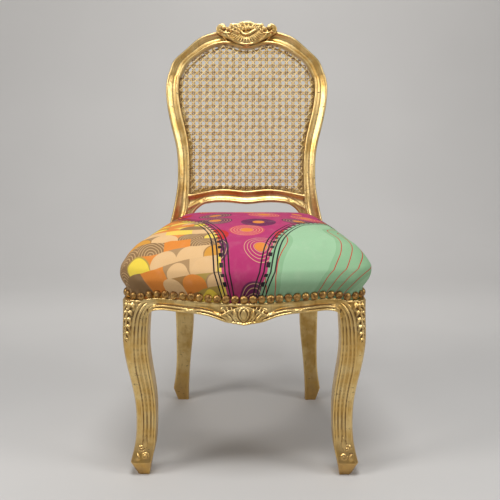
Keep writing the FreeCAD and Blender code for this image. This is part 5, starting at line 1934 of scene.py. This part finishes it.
@dataclass
class StuffedSeat:
    """The stuffed seat: a cotton-covered dome over the seat frame, drawn in at the nails."""

    plan: SeatPlan = field(default_factory=SeatPlan)
    steps: int = 38
    foot_z: float = 0.3672
    foot_drop: float = 0.0078
    skirt_z: float = 0.386
    lean: float = 0.0040
    outer_rings: int = 14
    free_z: float = 0.394
    full_z: float = 0.411
    fullness: float = 0.0045
    widest_z: float = 0.4316
    crown_z: float = 0.498
    recess_z: float = 0.4224
    bulge: float = 0.0145
    skirt_grow: float = 0.0018
    inner_grow: float = 0.0005
    swell: tuple[tuple[float, float], ...] = (
        (0.0, 0.0), (0.22, 0.33), (0.45, 0.62), (0.7, 0.87), (0.88, 0.98), (1.0, 1.0))
    crown: tuple[tuple[float, float], ...] = (
        (1.0, 0.0), (0.985, 0.104), (0.95, 0.289), (0.88, 0.51), (0.76, 0.69), (0.6, 0.821), (0.42, 0.918),
        (0.25, 0.974), (0.11, 0.997), (0.0, 1.0))
    pressure: float = 4.0
    most_move: float = 0.005

    def _grid(self) -> tuple[list[tuple[int, int]], dict[tuple[int, int], int]]:
        """Number the places of a square grid from its middle outwards."""
        cells = [(i, j) for i in range(-self.steps, self.steps + 1) for j in range(-self.steps, self.steps + 1)]
        return cells, {cell: number for number, cell in enumerate(cells)}

    def _rim_place(self, rim: np.ndarray, i: int, j: int) -> tuple[float, np.ndarray]:
        """Find a grid place's share of the way to the rim, and the rim place it belongs to.

        Args:
            rim: the outline, four sides one after another.
            i: grid column.
            j: grid row.

        Returns:
            The share and the rim place.
        """
        ring = max(abs(i), abs(j))
        if ring == 0:
            return 0.0, rim[0]
        side_count = len(rim) // 4
        if j == -ring and i < ring:
            side, along = 0, (i + ring) / (2 * ring)
        elif i == ring and j < ring:
            side, along = 1, (j + ring) / (2 * ring)
        elif j == ring and i > -ring:
            side, along = 2, (ring - i) / (2 * ring)
        else:
            side, along = 3, (ring - j) / (2 * ring)
        at = side * side_count + along * side_count
        low = int(at)
        share = at - low
        place = rim[low % len(rim)] * (1.0 - share) + rim[(low + 1) % len(rim)] * share
        return ring / self.steps, place

    def _rim_cells(self) -> list[tuple[int, int]]:
        """List the outermost grid places in the outline's order."""
        n = self.steps
        front = [(i, -n) for i in range(-n, n)]
        right = [(n, j) for j in range(-n, n)]
        back = [(i, n) for i in range(n, -n, -1)]
        left = [(-n, j) for j in range(n, -n, -1)]
        return front + right + back + left

    def _foot(self, rim: np.ndarray, nails: Sequence[Vector]) -> np.ndarray:
        """Work out the cloth's lower edge, which follows the front nails.

        Args:
            rim: outline places.
            nails: places of the nails.

        Returns:
            Its level at each outline place.
        """
        row = sorted((nail.x, nail.z) for nail in nails if nail.y < -0.18)
        xs, zs = zip(*row)
        front = np.interp(rim[:, 0], xs, zs) - self.foot_drop
        share = np.clip((-0.19 - rim[:, 1]) / 0.03, 0.0, 1.0)
        return np.maximum(self.foot_z, self.foot_z + (front - self.foot_z) * share)

    def _shell(self, nails: Sequence[Vector]) -> Thing:
        """Make the closed shell of the seat before it is blown up.

        Args:
            nails: places of the nails, which the lower edge follows.

        Returns:
            The shell.
        """
        rim = np.concatenate(self.plan.sides(self.steps * 2))
        cells, number = self._grid()
        sizes = np.array([row[0] for row in self.crown[::-1]])
        heights = np.array([row[1] for row in self.crown[::-1]])
        reach = 0.22
        rise = self.crown_z - self.widest_z
        lengths = np.concatenate([[0.0], np.cumsum(np.hypot(np.diff(sizes) * reach, np.diff(heights) * rise))])
        lengths /= lengths[-1]
        points = []
        for i, j in cells:
            share, place = self._rim_place(rim, i, j)
            size = float(np.interp(share, lengths, sizes))
            height = float(np.interp(share, lengths, heights))
            x, y = 0.0, self.plan.crown_y
            if share:
                x, y = self.plan.placed(place[None, :], self.skirt_grow, size, self.bulge)[0]
            points.append((x, y, self.widest_z + rise * height))
        faces = []
        n = self.steps
        for i in range(-n, n):
            for j in range(-n, n):
                faces.append((number[i, j], number[i + 1, j], number[i + 1, j + 1], number[i, j + 1]))
        row = [number[cell] for cell in self._rim_cells()]
        down = [(self.widest_z + (self.skirt_z - self.widest_z) * (1.0 - level), share * self.bulge, self.skirt_grow)
                for level, share in self._levels()]
        foot = self._foot(rim, nails)
        down += [(self.skirt_z + (foot - self.skirt_z) * step / 6.0, 0.0, self.skirt_grow) for step in range(1, 7)]
        down += [(foot + 0.0006 + (self.recess_z - foot) * step / 8.0, 0.0, self.inner_grow) for step in range(9)]
        for level, bulge, grow in down:
            ring = self.plan.placed(rim, grow, 1.0, bulge)
            first = len(points)
            points += [(x, y, z) for (x, y), z in zip(ring, np.broadcast_to(level, len(rim)))]
            below = list(range(first, first + len(rim)))
            for index in range(len(rim)):
                after = (index + 1) % len(rim)
                faces.append((row[after], row[index], below[index], below[after]))
            row = below
        offset = len(points)
        inner = {cell: offset + index for index, cell in enumerate(cells)}
        for i, j in cells:
            share, place = self._rim_place(rim, i, j)
            x, y = 0.0, self.plan.crown_y
            if share:
                x, y = self.plan.placed(place[None, :], self.inner_grow, share, 0.0)[0]
            points.append((x, y, self.recess_z + 0.0006))
        for i in range(-n, n):
            for j in range(-n, n):
                faces.append((inner[i, j], inner[i, j + 1], inner[i + 1, j + 1], inner[i + 1, j]))
        rim_inner = [inner[cell] for cell in self._rim_cells()]
        for index in range(len(rim)):
            after = (index + 1) % len(rim)
            faces.append((row[after], row[index], rim_inner[index], rim_inner[after]))
        piece = new_mesh("stuffed_seat", points, faces)
        shell = bmesh.new()
        shell.from_mesh(piece.data)
        bmesh.ops.remove_doubles(shell, verts=shell.verts, dist=0.00001)
        bmesh.ops.recalc_face_normals(shell, faces=shell.faces)
        shell.to_mesh(piece.data)
        shell.free()
        return piece

    def _levels(self) -> list[tuple[float, float]]:
        """Levels between the widest place and the skirt, from the top down, with their bulge."""
        levels = []
        for step in range(1, 9):
            level = 1.0 - step / 8.0
            share = float(np.interp(level, [row[0] for row in self.swell], [row[1] for row in self.swell]))
            levels.append((level, share))
        return levels

    def _mark_cloth(self, piece: Thing) -> None:
        """Store where each point lies on the flat cloth, which is pulled down evenly over the dome.

        Args:
            piece: the seat.
        """
        places = places_of(piece)
        away = places[:, :2] - np.array((0.0, self.plan.crown_y))
        flat = np.linalg.norm(away, axis=1)
        down = np.clip(self.crown_z - places[:, 2], 0.0, None)
        reach = np.sqrt(flat ** 2 + 0.45 * down ** 2) + np.clip(self.widest_z - places[:, 2], 0.0, None) * 0.9
        scale = np.where(flat > 1e-6, reach / np.maximum(flat, 1e-6), 1.0)
        cloth = np.zeros_like(places)
        cloth[:, :2] = away * scale[:, None]
        layer = piece.data.attributes.new("cloth", "FLOAT_VECTOR", "POINT")
        layer.data.foreach_set("vector", cloth.astype(np.float32).ravel())

    def _blow_up(self, piece: Thing) -> None:
        """Fill the dome with a cloth simulation, held at the skirt, and cap how far it moves.

        Args:
            piece: the shell.
        """
        before = places_of(piece)
        level = before[:, 2]
        outer = np.arange(len(before)) < (2 * self.steps + 1) ** 2 + self.outer_rings * 8 * self.steps
        held = np.where(outer, np.clip((self.free_z - level) / 0.008, 0.0, 1.0), 1.0)
        hold = piece.vertex_groups.new(name="held")
        for index in np.nonzero(held > 0.0)[0]:
            hold.add([int(index)], float(held[index]), "REPLACE")
        pick(piece)
        cloth = piece.modifiers.new("cloth", "CLOTH")
        cloth.settings.vertex_group_mass = "held"
        cloth.settings.quality = 4
        cloth.settings.mass = 0.3
        cloth.settings.tension_stiffness = 20.0
        cloth.settings.compression_stiffness = 20.0
        cloth.settings.shear_stiffness = 8.0
        cloth.settings.bending_stiffness = 1.5
        cloth.settings.use_pressure = True
        cloth.settings.uniform_pressure_force = self.pressure
        cloth.settings.effector_weights.gravity = 0.0
        cloth.collision_settings.use_collision = False
        cloth.collision_settings.use_self_collision = False
        cloth.point_cache.frame_start = 1
        cloth.point_cache.frame_end = 20
        for step in range(1, 21):
            bpy.context.scene.frame_set(step)
        bpy.ops.object.modifier_apply(modifier=cloth.name)
        bpy.context.scene.frame_set(1)
        after = places_of(piece)
        move = after - before
        length = np.linalg.norm(move, axis=1)
        share = np.where(length > self.most_move, self.most_move / np.maximum(length, 1e-9), 1.0)
        rise = np.clip((level - self.skirt_z) / 0.055, 0.0, 1.0)
        rise = rise * rise * (3.0 - 2.0 * rise) * outer
        full = np.exp(-((level - self.full_z) / 0.016) ** 2) * np.clip((level - self.skirt_z) / 0.012, 0.0, 1.0) * outer
        away = before[:, :2] - np.array((0.0, self.plan.crown_y))
        away /= np.maximum(np.linalg.norm(away, axis=1, keepdims=True), 1e-6)
        places = before + move * (share * rise)[:, None]
        places[:, :2] += away * (self.fullness * full)[:, None]
        places[:, 0] += self.lean * rise
        move_points(piece, places)

    def _pull_in(self, piece: Thing, nails: Sequence[Vector]) -> None:
        """Draw the cloth in round each nail, with small folds that fade upwards.

        Args:
            piece: the seat.
            nails: the nails' places.
        """
        places = places_of(piece)
        outside = np.ones(len(places), dtype=bool)
        spots = np.array([tuple(nail) for nail in nails])
        centre = np.array((0.0, self.plan.crown_y))
        away = places[:, :2] - centre
        angle = np.arctan2(away[:, 1], away[:, 0])
        nail_away = spots[:, :2] - centre
        nail_angle = np.arctan2(nail_away[:, 1], nail_away[:, 0])
        order = np.argsort(nail_angle)
        nail_angle = nail_angle[order]
        nail_z = spots[order, 2]
        wrapped = np.concatenate([nail_angle[-1:] - math.tau, nail_angle, nail_angle[:1] + math.tau])
        levels = np.concatenate([nail_z[-1:], nail_z, nail_z[:1]])
        after = np.searchsorted(wrapped, angle)
        after = np.clip(after, 1, len(wrapped) - 1)
        gap = wrapped[after] - wrapped[after - 1]
        phase = (angle - wrapped[after - 1]) / np.maximum(gap, 1e-6)
        level = levels[after - 1] * (1.0 - phase) + levels[after] * phase
        above = places[:, 2] - level
        fold = -np.cos(phase * math.tau)
        near = np.exp(-np.clip(above, 0.0, None) / 0.013) * (above > -0.004)
        even = (gap < 0.12).astype(float)
        outward = away / np.maximum(np.linalg.norm(away, axis=1, keepdims=True), 1e-6)
        wide = places[:, 2] > self.foot_z + 0.004
        push = (0.00075 * fold + 0.0001) * near * even * outside * wide
        inner = np.abs(places[:, 2] - (self.recess_z + 0.0006)) < 0.0004
        push[inner] = 0.0
        places[:, :2] += outward * push[:, None]
        move_points(piece, places)

    def build(self, finishes: Finishes, nails: Sequence[Vector]) -> None:
        """Build, blow up, notch and cover the seat.

        Args:
            finishes: the chair's finishes.
            nails: places of the nails, at which the cloth is drawn in.
        """
        piece = self._shell(nails)
        self._blow_up(piece)
        apply_modifier(piece, "SUBSURF", levels=1, render_levels=1)
        self._pull_in(piece, nails)
        self._notch(piece)
        self._mark_cloth(piece)
        smooth_shade(piece, 60.0)
        dress(piece, finishes.print, "printed_cotton", "seat_cover", "seat_wadding", "seat_foam")

    def _notch(self, piece: Thing) -> None:
        """Cut the rear corners out round the posts.

        Args:
            piece: the seat.
        """
        for side in (-1, 1):
            deselect()
            inner = 0.1355
            bpy.ops.mesh.primitive_cube_add(size=1.0, location=(side * (inner + 0.1), 0.1805 + 0.1, 0.45),
                                            scale=(0.2, 0.2, 0.3))
            room = settle(bpy.context.object)
            apply_modifier(room, "BEVEL", width=0.004, segments=3)
            pick(piece)
            cut = piece.modifiers.new("notch", "BOOLEAN")
            cut.operation = "DIFFERENCE"
            cut.object = room
            cut.solver = "EXACT"
            bpy.ops.object.modifier_apply(modifier=cut.name)
            bpy.data.objects.remove(room)


# Dome nails

@dataclass
class NailRows:
    """Rows of dome nails, one modelled nail copied to each place in the frame."""

    rows: tuple[str, ...] = ("front_nails", "left_nails", "right_nails", "rear_nails")
    radius: float = 0.0081
    height: float = 0.0056
    stand: float = 0.0007

    def places(self, node: str) -> list[tuple[Vector, Vector]]:
        """Find each nail of a row: the middle of its flat back, and the way it faces.

        Args:
            node: the row's node.

        Returns:
            Place and direction of each nail.
        """
        shell = bmesh.new()
        shell.from_mesh(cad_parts[node].data)
        bmesh.ops.remove_doubles(shell, verts=shell.verts, dist=0.00002)
        found = []
        seen: set[int] = set()
        for start in shell.verts:
            if start.index in seen:
                continue
            group = []
            stack = [start]
            seen.add(start.index)
            while stack:
                vert = stack.pop()
                group.append(vert)
                for edge in vert.link_edges:
                    other = edge.other_vert(vert)
                    if other.index not in seen:
                        seen.add(other.index)
                        stack.append(other)
            faces = {face for vert in group for face in vert.link_faces}
            pull = Vector((0.0, 0.0, 0.0))
            for face in faces:
                if face.normal.length > 0.5:
                    pull += face.normal * face.calc_area() * face.calc_area()
            middle = sum((vert.co for vert in group), Vector()) / len(group)
            flat = self._flat(list(faces))
            outward = -flat
            deepest = min((vert.co - middle).dot(outward) for vert in group)
            rim = [vert.co for vert in group if (vert.co - middle).dot(outward) < deepest + 0.0002]
            centre = sum(rim, Vector()) / len(rim)
            found.append((centre, outward))
        shell.free()
        return found

    @staticmethod
    def _flat(faces: Sequence[bmesh.types.BMFace]) -> Vector:
        """Return the direction that most of a nail's area faces alike, which is its flat back."""
        totals: dict[tuple[int, int, int], float] = {}
        normals: dict[tuple[int, int, int], Vector] = {}
        for face in faces:
            key = tuple(round(part * 50.0) for part in face.normal)
            totals[key] = totals.get(key, 0.0) + face.calc_area()
            normals[key] = face.normal.copy()
        return normals[max(totals, key=lambda key: totals[key])]

    def _pattern(self) -> Thing:
        """Model one nail: a domed head with a rolled rim.

        Returns:
            The nail, facing +Z, with its back at the origin.
        """
        deselect()
        bpy.ops.mesh.primitive_uv_sphere_add(segments=18, ring_count=12, radius=1.0)
        piece = bpy.context.object
        bpy.ops.object.mode_set(mode="EDIT")
        bpy.ops.mesh.select_all(action="SELECT")
        bpy.ops.mesh.bisect(plane_co=(0.0, 0.0, 0.12), plane_no=(0.0, 0.0, 1.0), clear_inner=True, use_fill=True)
        bpy.ops.object.mode_set(mode="OBJECT")
        places = places_of(piece)
        flat = np.linalg.norm(places[:, :2], axis=1)
        share = np.clip((places[:, 2] - 0.12) / 0.88, 0.0, 1.0)
        places[:, 2] = share ** 0.92 * self.height
        places[:, :2] *= self.radius
        rim = (flat > 0.9) & (share < 0.2)
        places[rim, 2] += 0.0002
        move_points(piece, places)
        return piece

    def build(self, finishes: Finishes) -> list[Vector]:
        """Make the rows.

        Args:
            finishes: the chair's finishes.

        Returns:
            The places of all nails.
        """
        rng = random.Random(5)
        pattern = self._pattern()
        source = pattern.data
        places_all = []
        for node in self.rows:
            copies = []
            for centre, outward in self.places(node):
                copy = bpy.data.objects.new("nail", source.copy())
                bpy.context.scene.collection.objects.link(copy)
                tilt = Vector((rng.uniform(-1, 1), rng.uniform(-1, 1), rng.uniform(-1, 1))) * 0.07
                turn = (outward + tilt).normalized().to_track_quat("Z", "Y").to_matrix().to_4x4()
                spin = Matrix.Rotation(rng.uniform(0, math.tau), 4, "Z")
                size = Matrix.Diagonal((rng.uniform(0.97, 1.03), rng.uniform(0.97, 1.03), rng.uniform(0.9, 1.08), 1.0))
                shift = Vector((0.0, 0.0, rng.uniform(-0.0004, 0.0004))) + outward * self.stand
                copy.data.transform(Matrix.Translation(centre + shift) @ turn @ spin @ size)
                copies.append(copy)
                places_all.append(centre.copy())
            row = join(copies, node + "_brass")
            smooth_shade(row, 40.0)
            dress(row, finishes.brass, "nail_brass", node)
        bpy.data.objects.remove(pattern)
        return places_all


# Under the seat

@dataclass
class SeatBase:
    """Webbing, the cloth on it, and the joinery that keeps its frame shape."""

    sag: float = 0.0012
    plan: SeatPlan = field(default_factory=SeatPlan)

    def _straps(self, node: str, finishes: Finishes) -> None:
        """Make one set of straps from its node: finer, rounded at the edges and slightly slack.

        Args:
            node: the straps' node.
            finishes: the chair's finishes.
        """
        piece = copy_of(node, node + "_jute")
        pick(piece)
        apply_modifier(piece, "BEVEL", width=0.0004, segments=2, limit_method="ANGLE", angle_limit=math.radians(40))
        apply_modifier(piece, "TRIANGULATE")
        shell = bmesh.new()
        shell.from_mesh(piece.data)
        long_edges = [edge for edge in shell.edges if edge.calc_length() > 0.02]
        bmesh.ops.subdivide_edges(shell, edges=long_edges, cuts=3)
        bmesh.ops.triangulate(shell, faces=shell.faces)
        shell.to_mesh(piece.data)
        shell.free()
        places = places_of(piece)
        share = np.clip(1.0 - (places[:, 0] / 0.19) ** 2, 0.0, 1.0)
        share *= np.clip(1.0 - ((places[:, 1] + 0.02) / 0.2) ** 2, 0.0, 1.0)
        places[:, 2] -= self.sag * share
        move_points(piece, places)
        smooth_shade(piece, 35.0)
        dress(piece, finishes.jute, "jute_webbing", node)

    def _cloth(self, finishes: Finishes) -> None:
        """Stretch the platform cloth over the webbing.

        Args:
            finishes: the chair's finishes.
        """
        low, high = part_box("platform_cloth")
        rim = np.concatenate(self.plan.sides(30))
        points = []
        faces = []
        rings = 14
        rows = []
        for ring in range(rings + 1):
            share = 1.0 - ring / rings * 0.96
            placed = self.plan.placed(rim, -0.0062, share, 0.0)
            rows.append(list(range(len(points), len(points) + len(rim))))
            for x, y in placed:
                slack = max(0.0, 1.0 - (x / 0.19) ** 2) * max(0.0, 1.0 - ((y + 0.02) / 0.2) ** 2)
                points.append((x, y, (low[2] + high[2]) / 2.0 - self.sag * slack))
        for ring in range(rings):
            for index in range(len(rim)):
                after = (index + 1) % len(rim)
                faces.append((rows[ring][index], rows[ring][after], rows[ring + 1][after], rows[ring + 1][index]))
        faces.append(tuple(rows[-1]))
        piece = new_mesh("platform_cloth_hessian", points, faces)
        self._clear_posts(piece)
        apply_modifier(piece, "SOLIDIFY", thickness=0.0009, offset=0.0)
        smooth_shade(piece, 40.0)
        dress(piece, finishes.hessian, "hessian", "platform_cloth")

    def _clear_posts(self, piece: Thing) -> None:
        """Cut the cloth back from the rear posts.

        Args:
            piece: the cloth.
        """
        shell = bmesh.new()
        shell.from_mesh(piece.data)
        gone = [vert for vert in shell.verts if abs(vert.co.x) > 0.1355 and vert.co.y > 0.1805]
        bmesh.ops.delete(shell, geom=gone, context="VERTS")
        shell.to_mesh(piece.data)
        shell.free()

    def build(self, finishes: Finishes) -> None:
        """Make the straps and the cloth, and finish the joinery.

        Args:
            finishes: the chair's finishes.
        """
        self._straps("webbing_lengthwise", finishes)
        self._straps("webbing_crosswise", finishes)
        self._cloth(finishes)
        keep = {
            "corner_block_front_left": finishes.beech, "corner_block_front_right": finishes.beech,
            "corner_block_rear_left": finishes.beech, "corner_block_rear_right": finishes.beech,
            "seat_frame_pegs": finishes.beech, "back_frame_pegs": finishes.beech,
            "corner_block_screws": finishes.screw, "webbing_tacks": finishes.tack,
            "cane_binder": finishes.cane,
        }
        for node, material in keep.items():
            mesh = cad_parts[node].data
            mesh.materials.clear()
            mesh.materials.append(material)
            log.info("%s: kept as it is, %s", node, material.name)


# The studio

@dataclass
class Studio:
    """Pale backdrop, soft lamps and the camera."""

    camera_place: tuple[float, float, float] = (0.02283, -1.92800, 0.76207)
    camera_pitch: float = 0.17346
    camera_yaw: float = 0.006773
    lens: float = 64.37
    floor_tone: Colour = (0.55, 0.542, 0.533)
    wall_tone: Colour = (0.64, 0.627, 0.612)

    def _backdrop(self) -> None:
        """Sweep a pale floor up into a wall behind the chair."""
        points = []
        faces = []
        profile = [(-4.0, 0.0), (1.6, 0.0)]
        for step in range(1, 13):
            angle = math.pi / 2.0 * step / 12.0
            profile.append((1.6 + 1.2 * math.sin(angle), 1.2 - 1.2 * math.cos(angle)))
        profile.append((2.8, 5.0))
        for y, z in profile:
            points += [(-6.0, y, z), (6.0, y, z)]
        for index in range(len(profile) - 1):
            base = index * 2
            faces.append((base, base + 1, base + 3, base + 2))
        floor = new_mesh("backdrop", points, faces)
        smooth_shade(floor)
        material, nodes, shader = new_material("backdrop_paper")
        place = nodes.add("ShaderNodeTexCoord").outputs["Object"]
        cloud = nodes.noise(place, 1.3, 2.0)
        behind = nodes.add("ShaderNodeSeparateXYZ", {0: place}).outputs[1]
        # painted light: the paper is darker on the floor and lighter up the wall
        tone = nodes.mix(nodes.ramp(behind, 0.3, 1.2), self.floor_tone, self.wall_tone)
        tone = nodes.mix(nodes.times(nodes.ramp(cloud, 0.3, 0.7), 0.05), tone, (0.0, 0.0, 0.0))
        wire(nodes, shader, Base_Color=tone, Roughness=0.9, Specular_IOR_Level=0.2)
        floor.data.materials.append(material)

    @staticmethod
    def _lamp(name: str, place: Sequence[float], target: Sequence[float], size: float, power: float,
              colour: Colour = (1.0, 1.0, 1.0)) -> None:
        """Hang a square soft lamp.

        Args:
            name: the lamp's name.
            place: where it hangs.
            target: where it points.
            size: its side.
            power: its power in watts.
            colour: its colour.
        """
        lamp = bpy.data.lights.new(name, "AREA")
        lamp.energy = power
        lamp.size = size
        lamp.color = colour
        thing = bpy.data.objects.new(name, lamp)
        bpy.context.scene.collection.objects.link(thing)
        thing.location = place
        way = Vector(target) - Vector(place)
        thing.rotation_euler = way.to_track_quat("-Z", "Y").to_euler()

    def build(self) -> None:
        """Set up the backdrop, the lamps, the world and the camera."""
        self._backdrop()
        self._lamp("left_softbox", (-2.0, -1.3, 1.9), (0.0, 0.0, 0.4), 1.0, 32.0, (1.0, 0.98, 0.95))
        self._lamp("right_softbox", (2.1, -1.1, 1.7), (0.0, 0.0, 0.4), 1.0, 21.0, (1.0, 0.98, 0.96))
        self._lamp("top_softbox", (0.0, -1.0, 2.8), (0.0, 0.0, 0.3), 1.0, 46.0)
        self._lamp("wall_softbox", (0.0, 1.6, 2.6), (0.0, 2.8, 0.6), 1.2, 16.0)
        world = bpy.data.worlds.new("studio_air")
        bpy.context.scene.world = world
        world.use_nodes = True
        background = world.node_tree.nodes["Background"]
        background.inputs["Color"].default_value = (0.62, 0.61, 0.60, 1.0)
        background.inputs["Strength"].default_value = 0.26
        camera = bpy.data.cameras.new("camera")
        camera.lens = self.lens
        camera.sensor_width = 36.0
        thing = bpy.data.objects.new("camera", camera)
        bpy.context.scene.collection.objects.link(thing)
        thing.location = self.camera_place
        thing.rotation_euler = (math.radians(90.0) - self.camera_pitch, 0.0, self.camera_yaw)
        bpy.context.scene.camera = thing
        bpy.context.scene.view_settings.view_transform = "Standard"


def main() -> None:
    """Dress the chair piece by piece and set up the studio."""
    logging.basicConfig(level=logging.INFO, format="%(message)s")
    finishes = Finishes()
    nails = NailRows().build(finishes)
    CarvedFrame(nails).build(finishes)
    CaneWork().build(finishes)
    StuffedSeat().build(finishes, nails)
    SeatBase().build(finishes)
    Studio().build()


if __name__ == "__main__":
    main()
